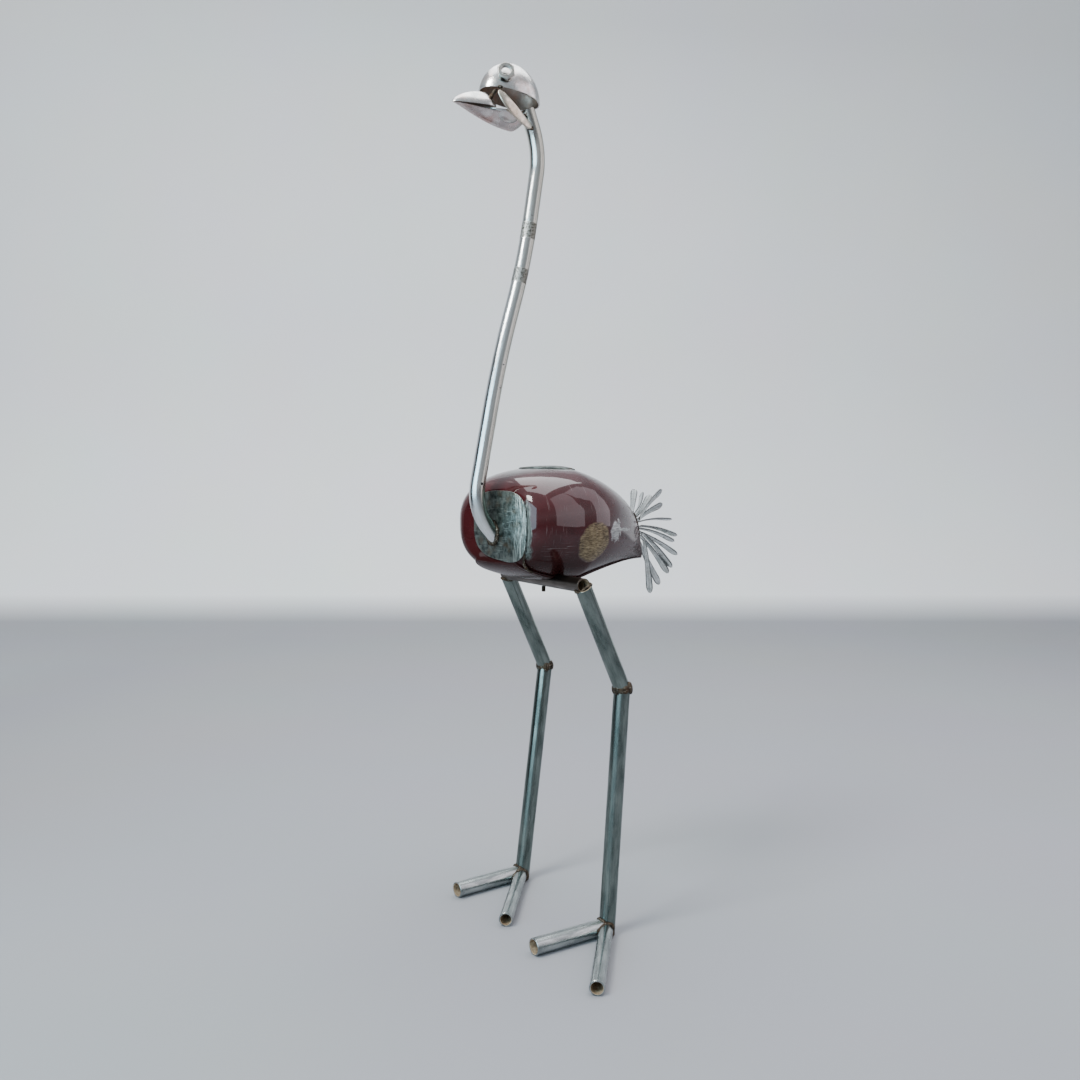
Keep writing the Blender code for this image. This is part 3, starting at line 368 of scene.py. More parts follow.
def open_tube(name, node, start, end, radius, wall, material, heat_spots, start_cut=None, end_cut=None):
    """A straight open tube; each cut says how far along the tube a line of its surface ends."""
    length = (end - start).length
    way = (end - start).normalized()
    steps = max(6, round(length / TUBE_STEP))
    directions = outwards(two_across(way), TUBE_SIDES)
    rows, straight = [], []
    for outside in (True, False):
        reach = radius if outside else radius - wall
        edge = -EDGE_ROUNDING if outside else EDGE_ROUNDING
        lines = [(0.0, edge)] + [(i / steps, 0.0) for i in range(steps + 1)] + [(1.0, edge)]
        for share, shift in lines if outside else reversed(lines):
            row = []
            for side, outward in enumerate(directions):
                place = start + (reach + shift) * outward
                low = start_cut(place, way) if start_cut else 0.0
                high = end_cut(place, way) if end_cut else length
                if shift == 0.0:
                    low += EDGE_ROUNDING
                    high -= EDGE_ROUNDING
                along = low + (high - low) * share
                point = place + along * way
                dent = TUBE_DENTS * (0.5 + 0.5 * noise.noise(point * 38)) if outside and 0 < share < 1 else 0.0
                row.append(point - dent * outward)
                angle = math.tau * side / TUBE_SIDES
                straight.append(Vector((radius * math.cos(angle), radius * math.sin(angle), along)))
            rows.append(row)
    tube = piece(name, node, skin_over(rows, True), material, 40, straight, heat_spots)
    line_bore(tube, (steps + 3) * TUBE_SIDES)
    return tube


def plane_cut(plane_point, plane_normal):
    """Ends a tube along a slanted saw cut."""
    return lambda place, way: (plane_point - place).dot(plane_normal) / way.dot(plane_normal)


def round_cut(axis_point, axis_way, radius):
    """Ends a tube where it meets the outside of another one."""
    def reach(place, way):
        across_way = way - way.dot(axis_way) * axis_way
        offset = (place - axis_point) - (place - axis_point).dot(axis_way) * axis_way
        a, b, c = across_way.dot(across_way), 2 * across_way.dot(offset), offset.dot(offset) - radius ** 2
        inside = b * b - 4 * a * c
        return (-b + math.sqrt(inside)) / (2 * a) if inside > 0 else -b / (2 * a)
    return reach


def weld_bead(name, path, radius, seed, closed=True, uneven=0.40, along=None, spread=1.0):
    """A run of weld along a path, in overlapping ripples that swell and thin unevenly."""
    spots = []
    for index in range(len(path) if closed else len(path) - 1):
        here, there = path[index], path[(index + 1) % len(path)]
        parts = max(1, round((there - here).length / WELD_STEP))
        spots += [here.lerp(there, part / parts) for part in range(parts)]
    if not closed:
        spots.append(path[-1])
    size = len(spots)
    rows = []
    run = 0.0
    for index, spot in enumerate(spots):
        before = spots[(index - 1) % size] if closed or index else spots[0]
        after = spots[(index + 1) % size] if closed or index < size - 1 else spots[-1]
        run += (spot - before).length
        ripple = abs(math.sin(math.pi * run / WELD_RIPPLE))
        swell = 1 + 0.16 * ripple + uneven * noise.noise(Vector((spot.x * 160, spot.y * 160, spot.z * 160 + seed)))
        if not closed:
            swell *= math.sin(math.pi * (0.06 + 0.88 * index / (size - 1))) ** 0.35
        wander = Vector([noise.noise(spot * 120 + Vector(shift)) for shift in (
            (seed, 0, 0), (0, seed, 0), (0, 0, seed))])
        row = []
        for outward in outwards(two_across((after - before).normalized()), WELD_SIDES):
            offset = radius * swell * outward
            if along:
                offset = offset + (spread - 1) * offset.dot(along) * along
            point = spot + 0.25 * radius * wander + offset
            point.z = max(point.z, FIT_GAP)
            row.append(point)
        rows.append(row)
    return piece(name, None, skin_over(rows, closed), WELD_METAL, 180)


def carve(item, cutters):
    """Cut shapes out of a piece for good; each cutter is its points and its faces."""
    helpers = []
    for points, faces in cutters:
        helpers.append(put_in_room("cutter", closed_mesh("cutter", points, faces)))
        cut = item.modifiers.new("cut", "BOOLEAN")
        cut.operation, cut.solver, cut.object = "DIFFERENCE", "EXACT", helpers[-1]
    bpy.context.view_layer.update()
    graph = bpy.context.evaluated_depsgraph_get()
    finished = bpy.data.meshes.new_from_object(item.evaluated_get(graph), depsgraph=graph)
    item.modifiers.clear()
    item.data = finished
    for helper in helpers:
        bpy.data.objects.remove(helper)


open_tube("hip_crossbar", "hip_tube", RIGHT_HIP - HIP_OVERHANG * HIP_WAY, LEFT_HIP + HIP_OVERHANG * HIP_WAY,
          HIP_TUBE_RADIUS, HIP_TUBE_WALL, SCALED_STEEL,
          [(LEFT_HIP, 0.030), (RIGHT_HIP, 0.030), (at(0.004, -0.004, HIP_HEIGHT), 0.045)])

# The stub's threads are worn and painted over with scale, so only shallow rings are left
STUB_RADIUS, STUB_LENGTH, STUB_STEPS, STUB_SIDES = 0.0029, 0.0075, 24, 24
stub_top = (LEFT_HIP + RIGHT_HIP) / 2 + 0.005 * HIP_WAY - Vector((0, 0, HIP_TUBE_RADIUS))
stub_rows = []
for step in range(STUB_STEPS + 1):
    stub_radius = STUB_RADIUS - (0.00035 if step % 2 else 0.0) - (0.0006 if step > STUB_STEPS - 2 else 0.0)
    stub_rows.append([stub_top + Vector((
        stub_radius * math.cos(math.tau * side / STUB_SIDES), stub_radius * math.sin(math.tau * side / STUB_SIDES),
        -FIT_GAP - STUB_LENGTH * step / STUB_STEPS)) for side in range(STUB_SIDES)])
piece("bolt_end", "bolt_stub", skin_over(stub_rows), WELD_METAL, 30)


# The legs
# Each leg is two lengths of steel tube, sawn on the slant at the knee and welded all round there.
# The thigh is shaped to the hip tube, and the shin's open lower end stands on the ground.

LEG_RADIUS = 0.0111
LEG_WALL = 0.0018
LEG_STEEL = steel_finish("drawn leg steel", (0.215, 0.250, 0.232), (0.080, 0.104, 0.098), 0.16, 0.30)
LEGS = {
    "left": (LEFT_HIP, at(0.1151, 0.0365, 0.3270), at(0.1151, 0.0078, 0)),
    "right": (RIGHT_HIP, at(-0.1067, 0.1095, 0.3205), at(-0.1067, 0.0599, 0)),
}
THIGH_TOP_DROP = 0.0040
NOTCH_SIDES = 72
NOTCH_STEPS = 60


def surface_ring(centre, way, radius, cut, sides=40):
    """The line where a tube's outside ends, by its cut."""
    places = [centre + radius * outward for outward in outwards(two_across(way), sides)]
    return [place + cut(place, way) * way for place in places]


hip_reach = HIP_OVERHANG + FIT_GAP
hip_notcher = skin_over([
    [centre + (HIP_TUBE_RADIUS + FIT_GAP) * outward for outward in outwards(two_across(HIP_WAY), NOTCH_SIDES)]
    for centre in (RIGHT_HIP - hip_reach * HIP_WAY, LEFT_HIP + hip_reach * HIP_WAY)])

for side_name, (hip, knee, heel) in LEGS.items():
    thigh_way = (knee - hip).normalized()
    shin_way = (heel - knee).normalized()
    mitre = (thigh_way + shin_way).normalized()
    half_gap = 0.00015 * mitre
    burnt_spots = [(hip, 0.062), (knee, 0.030), (heel + Vector((0, 0, 0.014)), 0.034)]
    thigh = open_tube(side_name + "_thigh_tube", side_name + "_thigh", hip + THIGH_TOP_DROP * thigh_way, knee,
                      LEG_RADIUS, LEG_WALL, LEG_STEEL, burnt_spots, None, plane_cut(knee - half_gap, mitre))
    carve(thigh, [hip_notcher])
    open_tube(side_name + "_shin_tube", side_name + "_shin", knee, heel, LEG_RADIUS, LEG_WALL, LEG_STEEL,
              burnt_spots, plane_cut(knee + half_gap, mitre), plane_cut(heel, UP))
    knee_ring = surface_ring(knee, shin_way, LEG_RADIUS - 0.0003, plane_cut(knee, mitre))
    weld_bead(side_name + "_knee_weld", knee_ring, 0.0021, len(side_name), uneven=0.9, along=mitre, spread=2.4)

    # The weld that closes the notch runs up one side of the thigh, round inside and down the other
    saddle = round_cut(hip, HIP_WAY, HIP_TUBE_RADIUS + FIT_GAP)
    outer_end = 1 if side_name == "left" else -1
    notch = []
    for outward in outwards(two_across(thigh_way), NOTCH_STEPS):
        place = hip + (LEG_RADIUS - 0.0004) * outward
        point = place + max(saddle(place, thigh_way), THIGH_TOP_DROP) * thigh_way
        notch.append((outer_end * (point - hip).dot(HIP_WAY), point))
    first_out = next(i for i in range(NOTCH_STEPS)
                     if notch[i][0] > 0.003 and notch[(i + 1) % NOTCH_STEPS][0] <= 0.003)
    run = [notch[(first_out + i) % NOTCH_STEPS] for i in range(NOTCH_STEPS)]
    weld_bead(side_name + "_hip_weld", [point for reach, point in run if reach <= 0.0045], 0.0022,
              2 + len(side_name), closed=False, uneven=0.5)


# The toes
# Two shorter open tube ends on each foot, coped to the shin and welded on: a thick one ahead and
# a thinner one out to the left. They lie flat on the ground, with saw marks left at their ends.

TOE_WALL = 0.0020
FORWARD_TOE_LENGTH = 0.116
SIDE_TOE_LENGTH = 0.173
SIDE_TOE_RADIUS = 0.0095
TOE_WELD_LOWEST = 0.0026
TOE_TURNS = {"left": (-10.5, 49.3), "right": (-6.6, 46.5)}    # of the forward toe, and between the two
# The toes share the legs' drawn steel, painted lighter here to stand for the light falling on them from above
TOE_STEEL_PAINTED_LIGHTER = steel_finish("toe steel painted lighter", (0.46, 0.49, 0.48), (0.22, 0.245, 0.245), 0.18, 0.34)


def level_way(degrees):
    """A level direction, turned from straight ahead to the left."""
    return Vector((math.sin(math.radians(degrees)), -math.cos(math.radians(degrees)), 0))


for side_name, (_, knee, heel) in LEGS.items():
    turn, between = TOE_TURNS[side_name]
    shin_cut = round_cut(heel, (heel - knee).normalized(), LEG_RADIUS + FIT_GAP)
    forward_way, side_way = level_way(turn), level_way(turn + between)
    forward_start = heel + Vector((0, 0, LEG_RADIUS))
    side_start = heel + Vector((0, 0, SIDE_TOE_RADIUS))
    forward_cut = round_cut(forward_start, forward_way, LEG_RADIUS + FIT_GAP)

    def side_cut(place, way, shin_cut=shin_cut, forward_cut=forward_cut):
        """The side toe starts clear of both the shin and the forward toe."""
        return max(shin_cut(place, way), forward_cut(place, way))

    for toe_name, start, way, radius, length, cut, seed in (
            ("_forward_toe", forward_start, forward_way, LEG_RADIUS, FORWARD_TOE_LENGTH, shin_cut, 3),
            ("_side_toe", side_start, side_way, SIDE_TOE_RADIUS, SIDE_TOE_LENGTH, side_cut, 5)):
        open_tube(side_name + toe_name + "_tube", side_name + toe_name, start, start + length * way, radius,
                  TOE_WALL, TOE_STEEL_PAINTED_LIGHTER, [(heel + Vector((0, 0, 0.012)), 0.038)], cut)
        ring = surface_ring(start, way, radius - 0.0005, cut)
        raised = [Vector((p.x, p.y, max(p.z, TOE_WELD_LOWEST))) for p in ring]
        weld_bead(side_name + toe_name + "_weld", raised, 0.0024, seed + len(side_name), uneven=0.8)


# The tank
# The fuel tank that makes the body: a deep upper shell and a shallow base pan, pressed from sheet
# steel and joined at a lip that runs low along each side. It keeps its glossy dark red paint, with
# bare and burnt patches where things were ground off or welded near.

TANK_FRONT_Y = -0.0885
TANK_LENGTH = 0.2830
TANK_HALF_WIDTH = 0.0920
TANK_SQUARENESS = 2.50
TANK_TAIL_RAKE = 0.30
SEAM_ANGLE = math.radians(-62.9)
SHELL_STEPS = 150
PAN_STEPS = 36
TANK_STATIONS = 150


def front_share(along, turning, bluntness):
    """How far a measure has grown from the tank's front to the place where it turns."""
    return (1 - (1 - along / turning) ** bluntness) ** (1 / bluntness)


def tank_profile(along, turning, front, middle, rear, bluntness, sharpness):
    """A measure that grows quickly from the front to its greatest, then eases off to the rear."""
    if along < turning:
        return front + (middle - front) * front_share(along, turning, bluntness)
    return rear + (middle - rear) * (1 - ((along - turning) / (1 - turning)) ** sharpness)


def tank_bottom(along):
    """The tank's underside: deepest under the hips, and rising gently to the rear."""
    if along < 0.364:
        return 0.0278 - 0.0315 * front_share(along, 0.364, 1.63)
    return 0.0169 - 0.0206 * ((1 - along) / 0.636) ** 2.15


def tank_measures(along):
    """Half width, top, bottom and middle height of the tank at a share of its length."""
    half_width = tank_profile(along, 0.325, 0.0568, TANK_HALF_WIDTH, 0.0080, 3.06, 1.82)
    top = HIP_HEIGHT + tank_profile(along, 0.368, 0.1128, 0.1530, 0.0823, 2.33, 1.40)
    bottom = HIP_HEIGHT + tank_bottom(along)
    return half_width, top, bottom, (top + bottom) / 2 + 0.0034


def skin_point(angle, half_width, top, bottom, middle, squareness=TANK_SQUARENESS):
    """A point of a squarish outline, by the angle round from its left side."""
    power = 2 / squareness
    side = math.copysign(abs(math.cos(angle)) ** power, math.cos(angle))
    rise = math.copysign(abs(math.sin(angle)) ** power, math.sin(angle))
    return half_width * side, middle + (top - middle if rise > 0 else middle - bottom) * rise


def tank_ring(along):
    """One closed cross-section: the upper shell, the seam lip on each side and the base pan."""
    half_width, top, bottom, middle = tank_measures(along)
    size = half_width / TANK_HALF_WIDTH
    lip, drop = 0.0030 * size, 0.0032 * size
    outline = []
    for step in range(SHELL_STEPS + 1):
        angle = SEAM_ANGLE + (math.pi - 2 * SEAM_ANGLE) * step / SHELL_STEPS
        outline.append(skin_point(angle, half_width, top, bottom, middle))
    left_x, lip_z = outline[0]
    rolled = [(0.55 * lip, 0.0), (0.9 * lip, -0.08 * drop), (lip, -0.3 * drop), (lip, -0.7 * drop),
              (0.9 * lip, -0.92 * drop), (0.55 * lip, -drop)]
    outline += [(-left_x - out, lip_z + down) for out, down in rolled]
    pan_half_width, pan_z = left_x - 0.4 * lip, lip_z - drop
    pan_depth = max(pan_z - bottom, 0.1 * drop)
    for step in range(PAN_STEPS + 1):
        share = -math.cos(math.pi * step / PAN_STEPS)
        outline.append((pan_half_width * share, pan_z - pan_depth * max(0, 1 - share ** 2) ** 0.6))
    outline += [(left_x + out, lip_z + down) for out, down in reversed(rolled)]
    y = TANK_FRONT_Y + TANK_LENGTH * along
    rake = TANK_TAIL_RAKE * along ** 6
    return [(x, y + rake * (middle - z), z) for x, z in outline]


def tank_top_at(x, y):
    """Height of the tank's upper skin over a point."""
    half_width, top, _, middle = tank_measures((y - TANK_FRONT_Y) / TANK_LENGTH)
    share = (1 - abs(x / half_width) ** TANK_SQUARENESS) ** (1 / TANK_SQUARENESS)
    return middle + (top - middle) * share


def patch(surface, centre, sizes, turn=(0, 0, 0), ragged=0.35, fade=0.25, grain_size=90):
    """How far a place lies inside an oval patch with a ragged edge: 0 outside and 1 well inside."""
    moved = surface.node("Mapping", {
        "Vector": surface.place, "Location": centre, "Rotation": turn, "Scale": sizes}, vector_type="TEXTURE")
    reach = surface.node("VectorMath", {0: moved}, "Value", operation="LENGTH")
    cloud = surface.node("TexNoise", {"Vector": surface.place, "Scale": grain_size, "Detail": 5.0})
    wobble = surface.node("Math", {0: cloud, 1: 2 * ragged, 2: -ragged}, operation="MULTIPLY_ADD")
    return surface.level(surface.node("Math", {0: reach, 1: wobble}, operation="ADD"), 1.0, 1.0 - fade)


def tank_paint():
    """Deep red gloss paint, wiped, with scratches and with ground and heat-marked places; painted shade darkens it
    towards the bottom, and a painted highlight runs along the seam lip.
    """
    paint = Finish("tank paint")
    paint.set("Specular IOR Level", 0.06)
    paint.set("Coat Roughness", 0.02)
    paint.set("Coat IOR", 1.50)
    dust = paint.grain((34, 60, 150), 6.0, 0.56, 0.78)
    red = paint.mix(paint.grain(26, 5.0, 0.35, 0.65), (0.036, 0.0050, 0.0060), (0.058, 0.0085, 0.0100))
    red = paint.mix(paint.times(dust, 0.10), red, (0.120, 0.070, 0.065))

    ground_off = patch(paint, (0.0835, 0.0610, 0.5345), (0.05, 0.0150, 0.0155), (0.5, 0, 0), 0.75, 0.30, 170)
    streak = patch(paint, (0.0720, 0.0860, 0.5350), (0.05, 0.0300, 0.0032), (-0.05, 0, 0), 0.5, 0.6, 160)
    burnt = patch(paint, (0.0900, 0.0110, 0.5215), (0.06, 0.0325, 0.0275), (0.12, 0, 0), 0.13, 0.12, 60)
    burnt_inside = patch(paint, (0.0900, 0.0110, 0.5215), (0.06, 0.0290, 0.0240), (0.12, 0, 0), 0.3, 0.9, 70)
    by_plate = patch(paint, (0.0605, -0.0860, 0.5380), (0.0105, 0.0120, 0.0430), (0, 0, 0), 0.30, 0.25, 120)
    by_cover = patch(paint, (0.0, 0.0090, 0.6150), (0.0475, 0.0475, 0.030), (0, 0, 0), 0.10, 0.16, 60)
    by_tail = patch(paint, (0.0, 0.1990, 0.5330), (0.020, 0.0170, 0.034), (0, 0, 0), 0.4, 0.4)
    hip_scale = patch(paint, (0.0, -0.0030, 0.4700), (0.085, 0.030, 0.016), (0, 0, -0.31), 0.45, 0.5)

    lines = paint.grain((30, 90, 1500), 3.0, 0.40, 0.66)
    heat_marks = paint.grain((60, 130, 900), 4.0, 0.38, 0.70)
    scorched = paint.mix(burnt_inside, (0.030, 0.021, 0.017), (0.105, 0.078, 0.045))
    scorched = paint.mix(paint.times(heat_marks, 0.85), scorched, (0.42, 0.33, 0.19))
    colour = paint.mix(paint.times(burnt, 0.97), red, scorched)
    bare = paint.plus(ground_off, paint.times(streak, 0.8))
    bare = paint.most(bare, paint.times(by_cover, 0.85))
    bare = paint.most(bare, paint.times(by_tail, 0.6))
    colour = paint.mix(bare, colour, paint.mix(lines, (0.24, 0.245, 0.24), (0.80, 0.81, 0.80)))
    striped = paint.grain((750, 750, 60), 3.0, 0.38, 0.62)
    colour = paint.mix(by_plate, colour, paint.mix(striped, (0.045, 0.053, 0.049), (0.27, 0.295, 0.27)))
    bare = paint.most(bare, by_plate)
    colour = paint.mix(hip_scale, colour, (0.040, 0.030, 0.024))

    scratches_and_lip_highlight = paint.times(paint.grain((14, 22, 1300), 2.0, 0.645, 0.70), patch(
        paint, (0.083, -0.050, 0.513), (0.030, 0.030, 0.015), (0, 0, 0), 0.5, 0.8))
    scratches_and_lip_highlight = paint.most(scratches_and_lip_highlight, paint.times(paint.grain((20, 700, 36), 2.0, 0.66, 0.70), 0.175))
    # Painted highlight: a light line on the seam lip's edges, from the lip points kept in the tank's heat
    # attribute, added to the scratches
    lip_painted_highlight = paint.times(paint.mark("heat"), paint.grain((90, 60, 90), 4.0, 0.30, 0.55))
    scratches_and_lip_highlight = paint.most(scratches_and_lip_highlight, lip_painted_highlight)
    colour = paint.mix(paint.times(scratches_and_lip_highlight, 0.85), colour, (0.50, 0.44, 0.42))
    # Painted shade: the paint is darkened towards the bottom of the tank, except on the burnt patch
    underside = paint.level(paint.node("SeparateXYZ", {0: paint.place}, 2), 0.540, 0.492)
    underside = paint.times(underside, paint.less(1.0, burnt))
    colour = paint.mix(paint.times(underside, 0.65), colour, (0.015, 0.006, 0.005))
    tail_end = paint.level(paint.node("SeparateXYZ", {0: paint.place}, 1), 0.08, 0.17)

    metal = paint.most(bare, paint.times(burnt, 0.55))
    paint.set("Metallic", paint.less(metal, paint.times(by_plate, 0.45)))
    open_coat = paint.most(paint.most(bare, hip_scale), paint.times(burnt, 0.9))
    # The coat is thinned where the paint is open, and also towards the bottom and the tail end
    coat_dulling = paint.most(open_coat, paint.times(underside, 0.88))
    coat_dulling = paint.most(coat_dulling, paint.times(tail_end, 0.88))
    paint.set("Coat Weight", paint.less(1.0, coat_dulling))
    wave = paint.grain(16, 2.0, 0.2, 0.8)
    paint.set("Coat Normal", paint.node("Bump", {"Height": wave, "Strength": 0.35, "Distance": 0.0012}))
    rough = paint.plus(paint.spread(open_coat, 0.26, 0.40), paint.times(dust, 0.12))
    rough = paint.plus(rough, paint.times(by_plate, 0.25))
    relief = paint.plus(paint.times(lines, bare), paint.times(heat_marks, burnt))
    return paint.close(colour, rough, relief, 0.25, 0.0004)


def make_tank():
    """The tank's skin, with a shallow seat pressed up into its underside for the hip tube."""
    rows = [tank_ring((1 - math.cos(math.pi * step / TANK_STATIONS)) / 2) for step in range(TANK_STATIONS + 1)]
    size = len(rows[0])
    seat = HIP_TUBE_RADIUS + FIT_GAP
    hip_start = RIGHT_HIP - FLOOR_POINT
    for row in rows:
        for index in range(size):
            row[index] = point = Vector(row[index])
            along_hip = (point - hip_start).dot(HIP_WAY)
            offset = (point - hip_start) - along_hip * HIP_WAY
            if point.z < 0.49 and offset.length < seat:
                side = math.hypot(offset.x, offset.y)
                axis_z = hip_start.z + along_hip * HIP_WAY.z
                point.z = max(point.z, axis_z + math.sqrt(max(0, seat ** 2 - side ** 2)))
    points, faces = skin_over(rows)
    tank = piece("tank_shell", "tank_body", ([FLOOR_POINT + point for point in points], faces), tank_paint(),
                 32, points)

    # The lip's edges are marked for a painted highlight, a light line along the lip
    lip_highlight = tank.data.attributes["heat"].data
    for index in range(len(points)):
        spot = index % size
        on_lip = SHELL_STEPS <= spot <= SHELL_STEPS + 3 or spot >= size - 3 or spot <= 1
        lip_highlight[index].value = 1.0 if on_lip else 0.0


make_tank()

# A raw run of weld goes down the front corner and on to the hip tube
weld_bead("front_corner_weld", [at(*spot) for spot in (
    (0.0575, -0.0880, 0.5090), (0.0560, -0.0868, 0.5035), (0.0535, -0.0850, 0.4975),
    (0.0505, -0.0800, 0.4920), (0.0485, -0.0725, 0.4868), (0.0490, -0.0640, 0.4833))], 0.0017, 8, closed=False)


# The chest plate
# A flat piece of sheet steel, cut round by hand and welded over the tank's blunt front so that the
# neck has something to stand on. It is bare, with wheel marks left from grinding.

PLATE_HALF_WIDTH = 0.0512
PLATE_OFFSET = 0.0130
PLATE_TOP = 0.5900
PLATE_BOTTOM = 0.4988
PLATE_BOTTOM_SLOPE = -0.13
PLATE_SQUARENESS = 3.0
PLATE_BACK_Y = TANK_FRONT_Y - FIT_GAP
PLATE_THICKNESS = 0.0020
PLATE_SIDES = 144


def ground_steel():
    """Bare sheet steel: mottled grey-green mill skin, and upright wheel marks by the left edge."""
    sheet = Finish("ground plate steel", 0.9)
    cloud = sheet.grain((120, 120, 95), 6.0, 0.38, 0.64)
    upright = sheet.grain((620, 620, 55), 3.0, 0.44, 0.62)
    slant = sheet.node("Mapping", {"Vector": sheet.place, "Rotation": (0.0, 0.9, 0.0), "Scale": (60, 60, 560)})
    slanted = sheet.level(sheet.node("TexNoise", {"Vector": slant, "Scale": 1.0, "Detail": 2.0}), 0.60, 0.68)
    by_edge = sheet.level(sheet.node("SeparateXYZ", {0: sheet.place}), 0.034, 0.052)
    strokes = sheet.most(sheet.times(upright, by_edge), sheet.times(slanted, 0.30))
    colour = sheet.mix(cloud, (0.022, 0.031, 0.028), (0.175, 0.205, 0.188))
    colour = sheet.mix(strokes, colour, (0.46, 0.50, 0.46))
    colour = sheet.mix(sheet.times(sheet.grain(330, 4.0, 0.60, 0.67), 0.85), colour, (0.030, 0.030, 0.026))
    colour = sheet.mix(sheet.times(sheet.grain(85, 4.0, 0.52, 0.72), 0.5), colour, (0.150, 0.105, 0.065))
    colour = heat_tint(sheet, colour, sheet.mark("heat"), 0.1, 0.6)
    relief = sheet.plus(sheet.times(strokes, 0.6), sheet.times(cloud, 0.5))
    return sheet.close(colour, sheet.spread(cloud, 0.48, 0.33), relief, 0.6, 0.0008)


GROUND_STEEL = ground_steel()


def make_plate():
    """The plate with its cut edge a little rounded; the faces close in from the rim almost to a point."""
    middle = (PLATE_TOP + PLATE_BOTTOM) / 2
    rows = []
    for share, y in ((0.015, 0.0), (1.0, 0.0), (1.0, 0.0006 - PLATE_THICKNESS), (0.986, -PLATE_THICKNESS),
                     (0.015, -PLATE_THICKNESS)):
        row = []
        for step in range(PLATE_SIDES):
            x, z = skin_point(math.tau * (step + 0.5) / PLATE_SIDES, PLATE_HALF_WIDTH, PLATE_TOP, PLATE_BOTTOM,
                              middle, PLATE_SQUARENESS)
            slant = PLATE_BOTTOM_SLOPE * x * max(0, middle - z) / (middle - PLATE_BOTTOM)
            row.append(at(PLATE_OFFSET + x * share, PLATE_BACK_Y + y, middle + (z + slant - middle) * share))
        rows.append(row)
    piece("chest_plate_sheet", "chest_plate", skin_over(rows), GROUND_STEEL, 50, None,
          [(at(0.004, PLATE_BACK_Y, 0.5290), 0.050)])


make_plate()


# The filler cover
# A thin round of sheet steel dished to the tank's top and welded over the hole where the filler
# was, ground bare, with stray wheel scratches round its edge.

COVER_RADIUS = 0.039
COVER_THICKNESS = 0.0015
COVER_Y = 0.009
COVER_SIDES = 96
COVER_CIRCLES = 14


def dome_faces(sides, circles, base=0):
    """A fan of faces round a middle point, then circles of four-sided ones."""
    faces = []
    for side in range(sides):
        following = (side + 1) % sides
        faces.append((base, base + 1 + side, base + 1 + following))
        for circle in range(circles - 1):
            inner = base + 1 + circle * sides
            faces.append((inner + side, inner + sides + side, inner + sides + following, inner + following))
    return faces


def dished_faces(sides, circles):
    """Two domes, one over the other, joined at their rims."""
    size = 1 + sides * circles
    faces = dome_faces(sides, circles) + dome_faces(sides, circles, size)
    rim = size - sides
    for side in range(sides):
        following = (side + 1) % sides
        faces.append((rim + side, rim + following, size + rim + following, size + rim + side))
    return faces


def make_cover():
    """The dished round with its upper rim rounded."""
    points = []
    for lift, inset, droop in ((FIT_GAP, 0, 0), (FIT_GAP + COVER_THICKNESS, 0.0004, 0.0003)):
        points.append(at(0, COVER_Y, tank_top_at(0, COVER_Y) + lift))
        for circle in range(1, COVER_CIRCLES + 1):
            at_rim = circle == COVER_CIRCLES
            reach = COVER_RADIUS * circle / COVER_CIRCLES - (inset if at_rim else 0)
            for side in range(COVER_SIDES):
                angle = math.tau * side / COVER_SIDES
                x, y = reach * math.cos(angle), COVER_Y + reach * math.sin(angle)
                points.append(at(x, y, tank_top_at(x, y) + lift - (droop if at_rim else 0)))
    piece("filler_cover_sheet", "filler_cover", (points, dished_faces(COVER_SIDES, COVER_CIRCLES)), GROUND_STEEL,
          40)


make_cover()


# The neck
# One length of chromed handlebar tube, bent twice and left open at the top under the jaw. Its
# foot is sawn to lie on the chest plate and welded round; two bands are knurled for grip.

NECK_RADIUS = 0.01025
NECK_WALL = 0.0016
NECK_SIDES = 72
NECK_STEP = 0.0022
NECK_FOOT_RISE = math.radians(45.3)
NECK_RUNS_AND_BENDS = (    # a length, or a bend's radius with the rise that it ends at
    (0.0115, None), (0.0633, 103), (0.095, None), (1.290, 109.3),
    (0.872, 100.6), (0.0545, None), (0.1013, 65.6), (0.024, None))
KNURLED = ((0.9232, 0.9448), (0.8638, 0.8827))
NECK_HOLES = ((0.0100, -0.1176, 0.5987, 0.0019), (0.0102, -0.0863, 0.7231, 0.0013),
              (0.0102, -0.0792, 0.7546, 0.0013), (0.0086, -0.0272, 0.9543, 0.0009),
              (0.0027, -0.0234, 0.9978, 0.0009))    # each with its radius
LEFT_WAY = Vector((1, 0, 0))


def rise_way(rise):
    """The neck's direction where it rises by an angle from straight ahead."""
    return Vector((0, -math.cos(rise), math.sin(rise)))


def neck_stations():
    """Places and rises along the tube's middle line, from the chest plate to the head."""
    point = Vector((0, TANK_FRONT_Y - PLATE_THICKNESS - 2 * FIT_GAP, 0.5340))
    rise = NECK_FOOT_RISE
    line = [(point.copy(), rise)]
    for size, target in NECK_RUNS_AND_BENDS:
        if target is None:
            steps = max(2, round(size / NECK_STEP))
            for _ in range(steps):
                point = point + size / steps * rise_way(rise)
                line.append((point.copy(), rise))
            continue
        old_rise, new_rise, start = rise, math.radians(target), point.copy()
        steps = max(4, round(size * abs(new_rise - old_rise) / NECK_STEP))
        turn = 1 if new_rise > old_rise else -1
        for step in range(1, steps + 1):
            rise = old_rise + (new_rise - old_rise) * step / steps
            point = start + size * turn * Vector((
                0, math.sin(old_rise) - math.sin(rise), math.cos(old_rise) - math.cos(rise)))
            line.append((point.copy(), rise))
    return line


NECK_LINE = neck_stations()
NECK_TOP_POINT = NECK_LINE[-1][0]
NECK_LENGTHS = [0.0]
for (below, _), (above, _) in zip(NECK_LINE, NECK_LINE[1:]):
    NECK_LENGTHS.append(NECK_LENGTHS[-1] + (above - below).length)


def length_at_height(height):
    """How far along the neck its middle line passes a height."""
    return min(zip(NECK_LENGTHS, NECK_LINE), key=lambda pair: abs(pair[1][0].z - height))[0]


